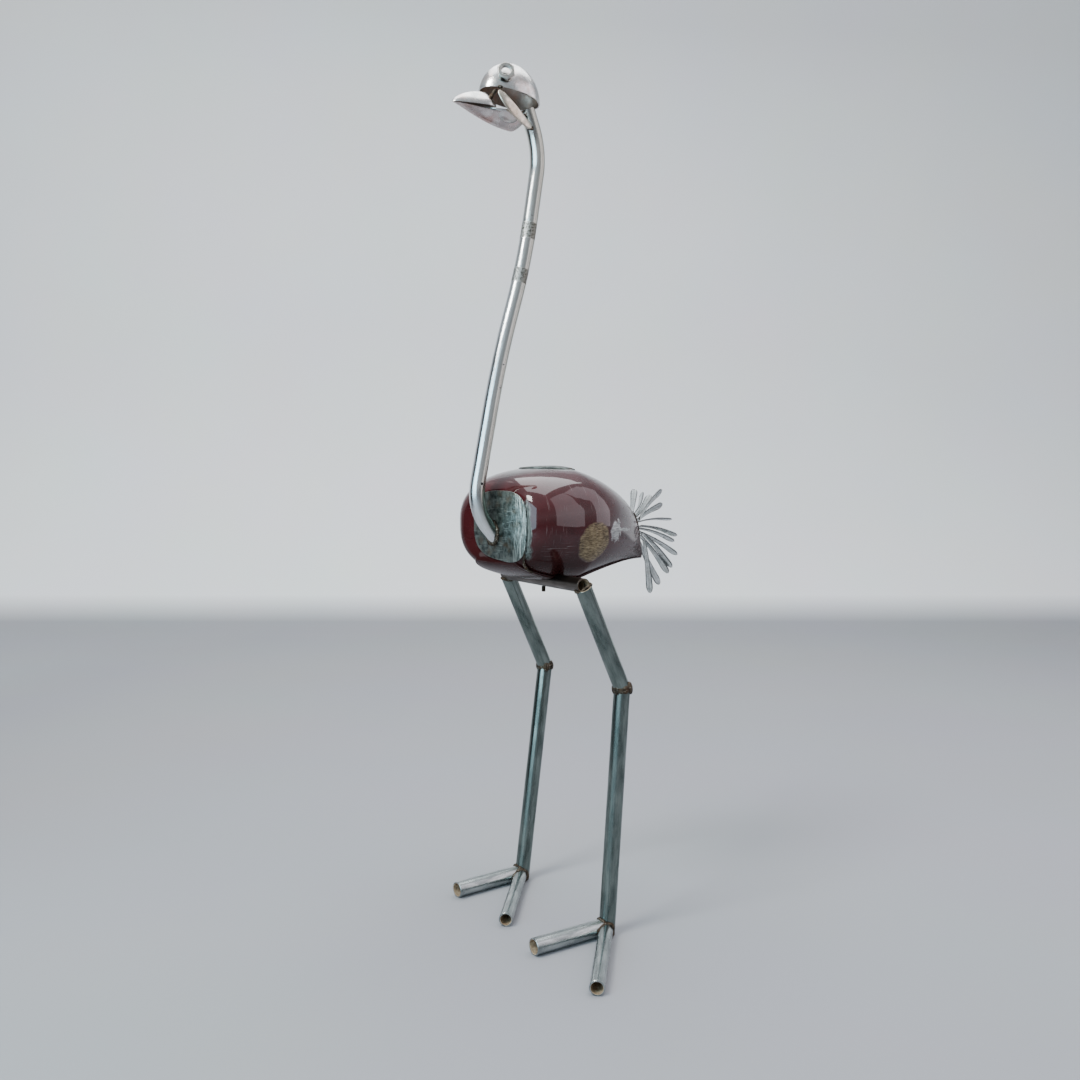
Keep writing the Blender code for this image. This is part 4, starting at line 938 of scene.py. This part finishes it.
def neck_chrome():
    """Old bright plating: painted shade on the side to the bird's left and rear, a yellowed top end, fine pits and
    two knurled bands.
    """
    chrome = Finish("neck chrome", 1.0)
    cloud = chrome.grain((95, 95, 30), 5.0, 0.36, 0.66)
    lines = chrome.grain((1000, 1000, 14), 3.0, 0.42, 0.70)
    rings = chrome.grain((60, 60, 900), 3.0, 0.52, 0.72)
    along = chrome.node("SeparateXYZ", {0: chrome.place}, 2)
    colour = chrome.mix(cloud, (0.62, 0.65, 0.66), (0.80, 0.82, 0.83))
    colour = chrome.mix(chrome.times(chrome.level(along, 0.30, 0.62), 0.75), colour, (0.76, 0.735, 0.64))
    colour = chrome.mix(chrome.times(lines, 0.30), colour, (0.42, 0.44, 0.45))
    # Painted shade: the side of the tube to the bird's left and rear, on the camera's right, is darkened to an
    # olive grey
    turned = chrome.node("VectorMath", {0: chrome.place, 1: (0.69, 0.72, 0.0)}, "Value", operation="DOT_PRODUCT")
    dull = chrome.times(chrome.level(turned, -0.0010, 0.0065), 0.80)
    colour = chrome.mix(dull, colour, (0.260, 0.265, 0.215))
    pits = chrome.grain((700, 700, 520), 3.0, 0.64, 0.70)
    colour = chrome.mix(chrome.times(pits, 0.6), colour, (0.17, 0.13, 0.09))
    bands = []
    for low, high in KNURLED:
        start, end, soft = length_at_height(low), length_at_height(high), 0.0008
        bands.append(chrome.times(
            chrome.level(along, start - soft, start + soft), chrome.level(along, end + soft, end - soft)))
    knurled = chrome.plus(*bands)
    hatch = chrome.grain(520, 2.0, 0.40, 0.60)
    colour = chrome.mix(chrome.times(knurled, chrome.most(hatch, 0.45)), colour, (0.060, 0.056, 0.042))
    heat = chrome.mark("heat")
    colour = heat_tint(chrome, colour, heat, 0.04, 0.30)
    worn = chrome.plus(chrome.spread(cloud, 0.27, 0.13), chrome.times(heat, 0.6))
    worn = chrome.plus(worn, chrome.times(knurled, 0.35))
    relief = chrome.plus(chrome.times(lines, 0.25), chrome.times(rings, 0.25))
    relief = chrome.plus(relief, chrome.times(knurled, hatch))
    return chrome.close(colour, worn, relief, 0.20, 0.0004)


def make_neck():
    """The bent tube, with shallow knurling in two bands and faint dents."""
    rows, unrolled = [], []
    stations = [(centre, rise, along) for (centre, rise), along in zip(NECK_LINE, NECK_LENGTHS)]
    for outside in (True, False):
        reach = NECK_RADIUS if outside else NECK_RADIUS - NECK_WALL
        for centre, rise, along in stations if outside else reversed(stations):
            way = rise_way(rise)
            row = []
            for side, outward in enumerate(outwards((LEFT_WAY, way.cross(LEFT_WAY)), NECK_SIDES)):
                level = reach
                if outside:
                    level -= 0.00012 * (0.5 + 0.5 * noise.noise(Vector((side * 0.25, along * 30, 0))))
                    if any(low < centre.z < high for low, high in KNURLED):
                        level -= 0.00030 * (0.5 + 0.5 * math.cos(side * math.pi) * math.cos(along * 2400))
                point = centre + level * outward
                if along == 0:
                    point = point + (centre.y - point.y) / way.y * way
                row.append(FLOOR_POINT + point)
                angle = math.tau * side / NECK_SIDES
                unrolled.append(Vector((reach * math.cos(angle), reach * math.sin(angle), along)))
            rows.append(row)
    foot, top = FLOOR_POINT + NECK_LINE[0][0], FLOOR_POINT + NECK_TOP_POINT
    burnt_spots = [(foot, 0.060), (foot + Vector((0, -0.020, 0.030)), 0.048),
                   (top + Vector((0, 0.004, -0.006)), 0.034)]
    neck = piece("neck_bar", "neck_tube", skin_over(rows, True), neck_chrome(), 40, unrolled,
                 burnt_spots)
    line_bore(neck, len(NECK_LINE) * NECK_SIDES)
    carve(neck, [drill(*hole) for hole in NECK_HOLES])


def drill(x, y, z, radius, sides=20):
    """A round cutter that goes in square to the tube at a spot on it."""
    spot = Vector((x, y, z))
    centre, rise = min(NECK_LINE, key=lambda station: (station[0] - spot).length)
    way = rise_way(rise)
    inward = centre - spot
    inward = (inward - inward.dot(way) * way).normalized()
    return skin_over([[FLOOR_POINT + centre - reach * inward + radius * outward
                       for outward in outwards(two_across(inward), sides)]
                      for reach in (NECK_RADIUS + 0.004, NECK_RADIUS - 0.004)])


make_neck()

foot_centre, foot_way = NECK_LINE[0][0], rise_way(NECK_FOOT_RISE)
foot_ring = []
for outward in outwards((LEFT_WAY, foot_way.cross(LEFT_WAY)), 48):
    foot_point = foot_centre + NECK_RADIUS * outward
    foot_point = foot_point + (foot_centre.y - foot_point.y) / foot_way.y * foot_way
    foot_ring.append(FLOOR_POINT + foot_point)
weld_bead("neck_foot_weld", foot_ring, 0.0026, 11, uneven=0.8)


# The head
# Four spoon bowls sawn from their handles and welded mouth to mouth: a deep round one for the
# crown, a pointed one over and a longer pointed one under for the bill, and one for the throat.

SPOON_THICKNESS = 0.0015
BOWL_SIDES = 96
BOWL_RINGS = 36
HEAD_TURN = math.radians(8)
head_forward = Vector((-math.sin(HEAD_TURN), -math.cos(HEAD_TURN), 0))
head_left = Vector((math.cos(HEAD_TURN), -math.sin(HEAD_TURN), 0))
HEAD = Matrix.Translation(FLOOR_POINT + NECK_TOP_POINT + Vector((0, 0.0058, -0.0205))) @ Matrix((
    (head_forward.x, head_left.x, 0, 0), (head_forward.y, head_left.y, 0, 0), (0, 0, 1, 0), (0, 0, 0, 1)))
MIRRORED = Matrix.Diagonal((1, 1, -1, 1))


def spoon_finish(name, pale, dark, tint, tint_share, smooth, rough):
    """Polished table steel: fine lines, finger-dull patches, grey edges and straw to pink heat colours."""
    spoon = Finish(name, 1.0)
    cloud = spoon.grain(75, 5.0, 0.36, 0.64)
    lines = spoon.grain((90, 1300, 1300), 3.0, 0.42, 0.70)
    stain = spoon.grain(48, 5.0, 0.46, 0.66)
    colour = spoon.mix(cloud, dark, pale)
    colour = spoon.mix(spoon.times(stain, tint_share), colour, tint)
    colour = spoon.mix(spoon.times(lines, 0.25), colour, tuple(0.6 * c for c in dark))
    colour = spoon.mix(spoon.times(spoon.mark("edge"), 0.85), colour, (0.075, 0.080, 0.078))
    heat = spoon.times(spoon.mark("heat"), spoon.spread(stain, 0.6, 1.25))
    colour = heat_tint(spoon, colour, heat, 0.06, 0.45)
    worn = spoon.plus(spoon.spread(cloud, rough, smooth), spoon.times(heat, 0.25))
    return spoon.close(colour, worn, lines, 0.10, 0.0003)


SPOON_STEEL = spoon_finish("polished spoon steel", (0.78, 0.785, 0.77), (0.54, 0.545, 0.53),
                           (0.62, 0.47, 0.42), 0.55, 0.15, 0.30)
BILL_STEEL = spoon_finish("heat tinted bill steel", (0.72, 0.66, 0.64), (0.50, 0.44, 0.43),
                          (0.56, 0.36, 0.32), 0.75, 0.20, 0.34)
# The insides of the bowls get a darker, browner copy of the spoon steel: brown heat tint together with painted
# shade in the hollows
BOWL_INSIDE_TINT_AND_SHADE = spoon_finish("spoon inside heat tint and painted shade", (0.62, 0.54, 0.48), (0.38, 0.31, 0.265),
                           (0.52, 0.34, 0.26), 0.75, 0.30, 0.45)


def bowl_skin(sizes, fullness, point_share, sides=BOWL_SIDES, rings=BOWL_RINGS):
    """One skin of a spoon bowl with its rim in the level plane: the deepest point, then rings out."""
    front, back, half_width, depth = sizes    # from the middle of the rim
    skin = [Vector((0, 0, depth))]
    for ring in range(1, rings + 1):
        slope = math.pi / 2 * ring / rings
        share = math.sin(slope)
        height = depth * max(math.cos(slope), 0) ** fullness if ring < rings else 0
        for side in range(sides):
            angle = math.tau * side / sides
            reach = front if math.cos(angle) > 0 else back
            narrowing = 1 - point_share * max(0, math.cos(angle))
            skin.append(Vector((
                share * reach * math.cos(angle), share * half_width * math.sin(angle) * narrowing, height)))
    return skin


def make_bowl(name, node, placing, sizes, fullness, point_share, opens_down, heat_spots, steel=SPOON_STEEL):
    """A spoon bowl of even thickness, set in the head by its placing; its rim is a plain sawn edge."""
    skin = []
    for inset in (0, SPOON_THICKNESS):
        skin += bowl_skin([size - inset for size in sizes], fullness, point_share)
    flip = Matrix.Identity(4) if opens_down else MIRRORED
    placed = [placing @ flip @ point for point in skin]
    bowl = piece(name, node, (placed, dished_faces(BOWL_SIDES, BOWL_RINGS)), steel, 50, skin,
                 [(HEAD @ Vector(spot), reach) for spot, reach in heat_spots])
    bowl.data.materials.append(BOWL_INSIDE_TINT_AND_SHADE)
    for face in bowl.data.polygons[BOWL_SIDES * BOWL_RINGS:2 * BOWL_SIDES * BOWL_RINGS]:
        face.material_index = 1
    return bowl


def placed_on(carrier, forward_by, up_by, tilt_degrees):
    """Where a bowl sits: forward and up of its carrier, with its front tipped up by a tilt."""
    return carrier @ Matrix.Translation((forward_by, 0, up_by)) @ Matrix.Rotation(
        -math.radians(tilt_degrees), 4, "Y")


# The two spoons of the bill and the throat lean over to the left together, about one axis
BILL = HEAD @ Matrix.Translation((0, 0, 0.0080)) @ Matrix.Rotation(math.radians(-10), 4, "X")
THROAT = (0.0310, 0.0220, 0.0210, 0.0175)
THROAT_FULLNESS = 1.2
THROAT_PLACE = placed_on(BILL, 0.0385, 0.0030, -2)
CROWN_PLACE = Vector((0.0330, 0, 0.0288))
make_bowl("crown_spoon", "crown_bowl", placed_on(HEAD, CROWN_PLACE.x, CROWN_PLACE.z, 6.5),
          (0.0445, 0.0437, 0.0300, 0.0443), 1.1, 0.0, True,
          [((0.062, 0.020, 0.032), 0.015), ((0.050, 0.024, 0.042), 0.010), ((-0.008, 0.006, 0.026), 0.018)])
make_bowl("upper_bill", "upper_bill_spoon", placed_on(BILL, 0.0760, 0.0028, -2.5),
          (0.0449, 0.0175, 0.0200, 0.0172), 1.5, 0.35, True, [((0.066, 0.014, 0.022), 0.014)])
make_bowl("throat_spoon", "throat_bowl", THROAT_PLACE, THROAT, THROAT_FULLNESS, 0.0, False,
          [((0.020, 0.012, 0.000), 0.010)])
lower_bill = make_bowl("lower_bill", "lower_bill_spoon", placed_on(BILL, 0.0300, -0.0023, 1.5),
                       (0.0905, 0.0220, 0.0185, 0.0180), 2.6, 0.30, False, [((0.012, 0.010, -0.004), 0.020)],
                       BILL_STEEL)


def throat_cutter(sides=96, rings=24, lift=Vector((0, 0, 0.004))):
    """The throat bowl's outside with its mouth closed, a little larger and drawn out upwards."""
    skin = bowl_skin([size + FIT_GAP for size in THROAT], THROAT_FULLNESS, 0.0, sides, rings)
    faces = dome_faces(sides, rings) + [tuple(range(1 + (rings - 1) * sides, 1 + rings * sides))]
    raised = THROAT_PLACE @ Matrix.Translation(lift) @ MIRRORED
    return [raised @ (point + (lift if point.z > 1e-9 else Vector((0, 0, 0)))) for point in skin], faces


# The lower bill is notched for the throat bowl and for the top end of the neck
neck_cutter = skin_over([
    [FLOOR_POINT + centre + (NECK_RADIUS + 2 * FIT_GAP) * outward
     for outward in outwards((LEFT_WAY, rise_way(rise).cross(LEFT_WAY)), 64)]
    for centre, rise in NECK_LINE[-24:]])
carve(lower_bill, [throat_cutter(), neck_cutter])


def head_weld(name, radius, seed, uneven, spots):
    """A short run of weld on the head."""
    weld_bead(name, [HEAD @ Vector(spot) for spot in spots], radius, seed, closed=False, uneven=uneven)


head_weld("bill_weld", 0.0025, 23, 0.7, (
    (0.066, 0.0185, 0.0290), (0.069, 0.0175, 0.0250), (0.072, 0.0170, 0.0205), (0.074, 0.0165, 0.0160)))


# The strap
# A flat spoon handle with softly rounded edges, welded from the crown's rim by the bill, in a
# bow past the jaw, to the side of the neck. It holds the head steady on the open tube.

STRAP_STEEL = spoon_finish("strap steel", (0.80, 0.74, 0.62), (0.52, 0.47, 0.39),
                           (0.55, 0.40, 0.28), 0.35, 0.16, 0.30)
STRAP_WIDTH = 0.0145
STRAP_HALF_THICKNESS = 0.0011
STRAP_STEPS = 60
STRAP_SECTION = (    # across and out, as shares of the half width and the half thickness
    (-1, -0.3), (-0.97, 0.35), (-0.86, 0.85), (-0.6, 1.15), (-0.3, 1.28), (0, 1.33), (0.3, 1.28),
    (0.6, 1.15), (0.86, 0.85), (0.97, 0.35), (1, -0.3), (0.95, -0.8), (0.8, -1.0), (0, -1.0),
    (-0.8, -1.0), (-0.95, -0.8))


def make_strap():
    """The handle as a swept strip with a low crown on its outer face."""
    upper, lower = Vector((0.0630, 0.0215, 0.0275)), Vector((0.0085, 0.0125, -0.0060))
    control = 2 * Vector((0.0445, 0.0262, 0.0063)) - (upper + lower) / 2
    rows = []
    for step in range(STRAP_STEPS + 1):
        share = step / STRAP_STEPS
        centre = (1 - share) ** 2 * upper + 2 * share * (1 - share) * control + share ** 2 * lower
        way = (2 * (1 - share) * (control - upper) + 2 * share * (lower - control)).normalized()
        outward = (Vector((0, 1, 0)) - way.y * way).normalized()
        wide_way = way.cross(outward)
        ends = 1 - 0.35 * max(0, 1 - share / 0.05) - 0.35 * max(0, 1 - (1 - share) / 0.05)
        half_width = STRAP_WIDTH / 2 * (0.62 + 0.38 * math.sin(math.pi * share)) * ends
        rows.append([HEAD @ (centre + wide * half_width * wide_way + thick * STRAP_HALF_THICKNESS * outward)
                     for wide, thick in STRAP_SECTION])
    piece("head_strap_handle", "head_strap", skin_over(rows), STRAP_STEEL, 40, None,
          [(HEAD @ upper, 0.010), (HEAD @ lower, 0.013)])


make_strap()
head_weld("strap_upper_weld", 0.0018, 25, 0.40, (
    (0.0655, 0.0205, 0.0325), (0.0625, 0.0225, 0.0320), (0.0595, 0.0235, 0.0315)))
head_weld("strap_lower_weld", 0.0016, 27, 0.40, (
    (0.0125, 0.0130, -0.0085), (0.0085, 0.0125, -0.0085), (0.0045, 0.0110, -0.0075), (0.0030, 0.0095, -0.0035)))


# The eyes
# Two steel nuts, worn grey, stood on edge against the crown and tacked on at their lower corners,
# so that each looks outwards like an eye.

NUT_FLATS = 0.0210
NUT_HOLE = 0.0120
NUT_THICKNESS = 0.0050
NUT_HEIGHT = 0.0200
NUT_SIDES = 96
NUT_THREADS = 14
CROWN = (0.0445, 0.0437, 0.0300, 0.0446)    # front, rear, half width and depth that the nuts clear


def nut_finish():
    """Worn nut steel: grey faces, with painted shade on the six sides and the chamfer, in the ring groove on the
    face and down the thread.
    """
    nut = Finish("worn nut steel", 0.95, "Object")
    cloud = nut.grain(260, 4.0, 0.36, 0.66)
    colour = nut.mix(cloud, (0.27, 0.26, 0.235), (0.50, 0.49, 0.455))
    # Painted shade: the nut's heat attribute holds how much shade is painted on each of its rows
    colour = nut.mix(nut.mark("heat"), colour, (0.075, 0.070, 0.062))
    return nut.close(colour, nut.spread(cloud, 0.46, 0.28), nut.grain(1500, 3.0, 0.35, 0.65), 0.25, 0.0003)


NUT_STEEL = nut_finish()


def clears_crown(centre, directions, corner):
    """Whether a nut's back corners all stand off the crown."""
    front, rear, half_width, depth = CROWN
    for outward in directions:
        rel = centre + corner * outward - CROWN_PLACE
        reach = front if rel.x > 0 else rear
        level = (rel.x / reach) ** 2 + (rel.y / half_width) ** 2 + (rel.z / depth) ** 2
        if level < (1 + 0.0006 / half_width) ** 2:
            return False
    return True


def make_eye(side_name, turn_degrees):
    """A nut whose back corner just clears the crown, looking out along its axis."""
    turn = math.radians(turn_degrees)
    front, _, half_width, _ = CROWN
    axis = Vector((math.cos(turn) / front, math.sin(turn) / half_width, 0.16 / half_width)).normalized()
    axes = two_across(axis)
    flats = NUT_FLATS / 2
    corner = flats / math.cos(math.pi / 6)
    back = CROWN_PLACE + Vector((0.55 * front * math.cos(turn), 0.55 * half_width * math.sin(turn), NUT_HEIGHT))
    while not clears_crown(back, outwards(axes, 24), corner):
        back = back + 0.0002 * axis

    # Each row: radius, level, how much painted shade it takes, and whether the six flats cut it
    profile = [
        (flats * 0.97, 0.0, 0.95, True), (corner, 0.0009, 0.95, True), (corner, NUT_THICKNESS - 0.0011, 0.90, True),
        (flats * 1.04, NUT_THICKNESS - 0.0004, 0.55, True), (flats * 0.95, NUT_THICKNESS, 0.0, False),
        (flats * 0.86, NUT_THICKNESS, 0.0, False), (flats * 0.83, NUT_THICKNESS - 0.0004, 1.0, False),
        (flats * 0.76, NUT_THICKNESS - 0.0004, 1.0, False), (flats * 0.72, NUT_THICKNESS, 0.0, False),
        (NUT_HOLE / 2 + 0.0009, NUT_THICKNESS, 0.0, False), (NUT_HOLE / 2, NUT_THICKNESS - 0.0008, 1.0, False)]
    for thread in range(1, NUT_THREADS):
        cut = thread % 2
        profile.append((NUT_HOLE / 2 + (0.0004 if cut else 0.0),
                        (NUT_THICKNESS - 0.0008) * (1 - thread / NUT_THREADS), 0.9 if cut else 0.5, False))
    profile.append((NUT_HOLE / 2, 0.0, 0.6, False))
    rows = []
    for radius, level, _, cut_flat in profile:
        row = []
        for step, outward in enumerate(outwards(axes, NUT_SIDES)):
            angle = math.tau * step / NUT_SIDES
            to_flat = flats / math.cos((angle % (math.pi / 3)) - math.pi / 6)
            row.append(HEAD @ (back + level * axis + (min(radius, to_flat) if cut_flat else radius) * outward))
        rows.append(row)
    item = piece(side_name + "_eye", side_name + "_eye_nut", skin_over(rows, True), NUT_STEEL, 25)
    painted_shade_rows = item.data.attributes["heat"].data
    for index in range(len(painted_shade_rows)):
        painted_shade_rows[index].value = profile[index // NUT_SIDES][2]

    low = Vector((0, 0, -1))
    low = (low - low.dot(axis) * axis).normalized()
    sideways = axis.cross(low)
    head_weld(side_name + "_eye_tack", 0.0016, 21, 0.40, [
        back + flats * (0.97 * low * math.cos(a) + 0.97 * sideways * math.sin(a)) + 0.001 * axis
        for a in (-0.7, -0.45, -0.2, 0.05, 0.3, 0.55)])


make_eye("left", 50)
make_eye("right", -100)


# The tail
# A fan of thirteen handles sawn from spoons and forks, their root ends all welded to the tank's
# narrow rear edge in one long lump. The first three make a tuft at the top, turned to the left.

HANDLE_STEEL = spoon_finish("handle steel", (0.80, 0.83, 0.82), (0.46, 0.49, 0.48),
                            (0.34, 0.31, 0.27), 0.30, 0.20, 0.36)
TAIL_COUNT = 13
TUFT_COUNT = 3
TURNED_HANDLES = (2, 4, 5, 12)
TAIL_TOP_RISE, TAIL_ROOT_LENGTH = 0.0865, 0.0428    # above the hips, and down the tank's rear edge
HANDLE_LENGTH, HANDLE_BOW = 0.122, 0.0036
HANDLE_ROOT_WIDTH, HANDLE_WIDENING = 0.0055, 0.0070
HANDLE_HALF_THICKNESS = 0.0010
HANDLE_STEPS = 56
LUMP_WIDTH, LUMP_DEPTH = 0.0090, 0.0065
LUMP_SIDES, LUMP_STEPS = 40, 60


def tail_root(share):
    """Middle of a handle's root, by its share of the way down the tank's rear edge."""
    z = HIP_HEIGHT + TAIL_TOP_RISE - TAIL_ROOT_LENGTH * share
    return Vector((0, TANK_FRONT_Y + TANK_LENGTH + TANK_TAIL_RAKE * (tank_measures(1)[3] - z), z))


def make_tail_lump():
    """The lump of weld metal that the handles are stuck in."""
    top, bottom = tail_root(-0.10), tail_root(1.10)
    rows = []
    for step in range(LUMP_STEPS - 1):
        share = 0.1 + 0.8 * step / (LUMP_STEPS - 2)
        swell = math.sin(math.pi * share) ** 0.4
        centre = top + (bottom - top) * share
        row = []
        for side in range(LUMP_SIDES + 1):
            angle = math.pi * side / LUMP_SIDES
            wide, deep = LUMP_WIDTH * swell * math.cos(angle), LUMP_DEPTH * swell * math.sin(angle)
            raw = centre + Vector((wide, FIT_GAP + deep, 0))
            lumps = 0.55 + 0.45 * noise.noise(raw * 330) - 0.35 * abs(noise.noise(raw * 800))
            row.append(FLOOR_POINT + centre + Vector((
                wide * (1 - 0.1 * (1 - lumps)), FIT_GAP + deep * (1 - 0.22 * (1 - lumps) * math.sin(angle)), 0)))
        rows.append(row)
    piece("tail_lump", "tail_weld", skin_over(rows), WELD_METAL, 70)


def handle_angles(index):
    """Rise from straight behind and sway to the left of one handle, in degrees."""
    if index < TUFT_COUNT:
        return 19.8 - 1.7 * index, -37.7 + 4.45 * index
    share = (index - TUFT_COUNT) / (TAIL_COUNT - 1 - TUFT_COUNT)
    rise = 26.8 - 76.6 * share ** 0.71 + 3.0 * math.sin(2.0 * index - 0.75)
    sway = -20.4 + 16.5 * math.sin(math.pi * share) + 2.2 * math.sin(2.5 * index + 0.6)
    return rise, sway


def make_handle(index):
    """One handle: narrow at the weld, widening to a rounded end, bowed, with a raised rim on each face."""
    share = index / (TAIL_COUNT - 1)
    in_tuft = index < TUFT_COUNT
    rise, sway = (math.radians(angle) for angle in handle_angles(index))
    way = Vector((math.sin(sway), math.cos(sway) * math.cos(rise), math.cos(sway) * math.sin(rise)))
    roll = math.radians((-74 if in_tuft else 72) + 2 * math.sin(3 * index))
    if index + 1 in TURNED_HANDLES:
        roll += math.radians(-55)
    side_way = LEFT_WAY.cross(way).normalized()
    wide_way = math.cos(roll) * side_way + math.sin(roll) * way.cross(side_way)
    thick_way = way.cross(wide_way)
    length = HANDLE_LENGTH - 0.0195 * math.sin(math.pi * share) + 0.0063 * math.sin(2.1 * index + 3.6)
    clearance = 0.0006 + (0.0020 + 0.0055 * abs(math.sin(rise))) / 2
    aside = 0.0030 * index - 0.0061 if in_tuft else 0.0061 * (1 - index % 3)
    start = tail_root(share ** 1.05) + Vector((aside, LUMP_DEPTH + clearance, 0))
    rows, unrolled, edges = [], [], []
    for step in range(HANDLE_STEPS + 1):
        along = step / HANDLE_STEPS
        along = along if along < 0.9 else 0.9 + 0.1 * math.sin(math.pi / 2 * (along - 0.9) / 0.1)
        half_width = (HANDLE_ROOT_WIDTH + HANDLE_WIDENING * min(along, 0.95) ** 1.3) / 2
        if along > 0.86:
            half_width *= max(0.30, math.sqrt(max(0, 1 - ((along - 0.86) / 0.142) ** 2)))
        centre = start + length * along * way - HANDLE_BOW * math.sin(math.pi * along) * thick_way
        rim = min(1, along / 0.3) * (1 if along < 0.93 else 0.4)
        half = [(-0.98, 0.45), (-0.9, 0.85), (-0.8, 1.0), (-0.7, 1.0), (-0.6, 0.93 - 0.22 * rim),
                (-0.3, 0.9 - 0.30 * rim)]
        upper = half + [(0, 0.9 - 0.22 * rim)] + [(-w, t) for w, t in reversed(half)]
        ring = [(-1, 0)] + upper + [(1, 0)] + [(w, -t) for w, t in reversed(upper)]
        rows.append([FLOOR_POINT + centre + wide * half_width * wide_way + thick * HANDLE_HALF_THICKNESS * thick_way
                     for wide, thick in ring])
        unrolled += [Vector((along * length, wide * half_width + 0.03 * index, thick * HANDLE_HALF_THICKNESS))
                     for wide, thick in ring]
        edges += [1.0 if abs(wide) > 0.75 else 0.7 if abs(wide) > 0.65 else 0.35 if abs(wide) < 0.05 else 0.0
                  for wide, _ in ring]
    handle = piece("tail_spoon_%02d" % (index + 1), "tail_handle_%02d" % (index + 1), skin_over(rows), HANDLE_STEEL,
                   40, unrolled, [(FLOOR_POINT + start, 0.019)])
    handle.data.attributes.new("edge", "FLOAT", "POINT")
    handle.data.attributes["edge"].data.foreach_set("value", edges)


make_tail_lump()
for handle_index in range(TAIL_COUNT):
    make_handle(handle_index)
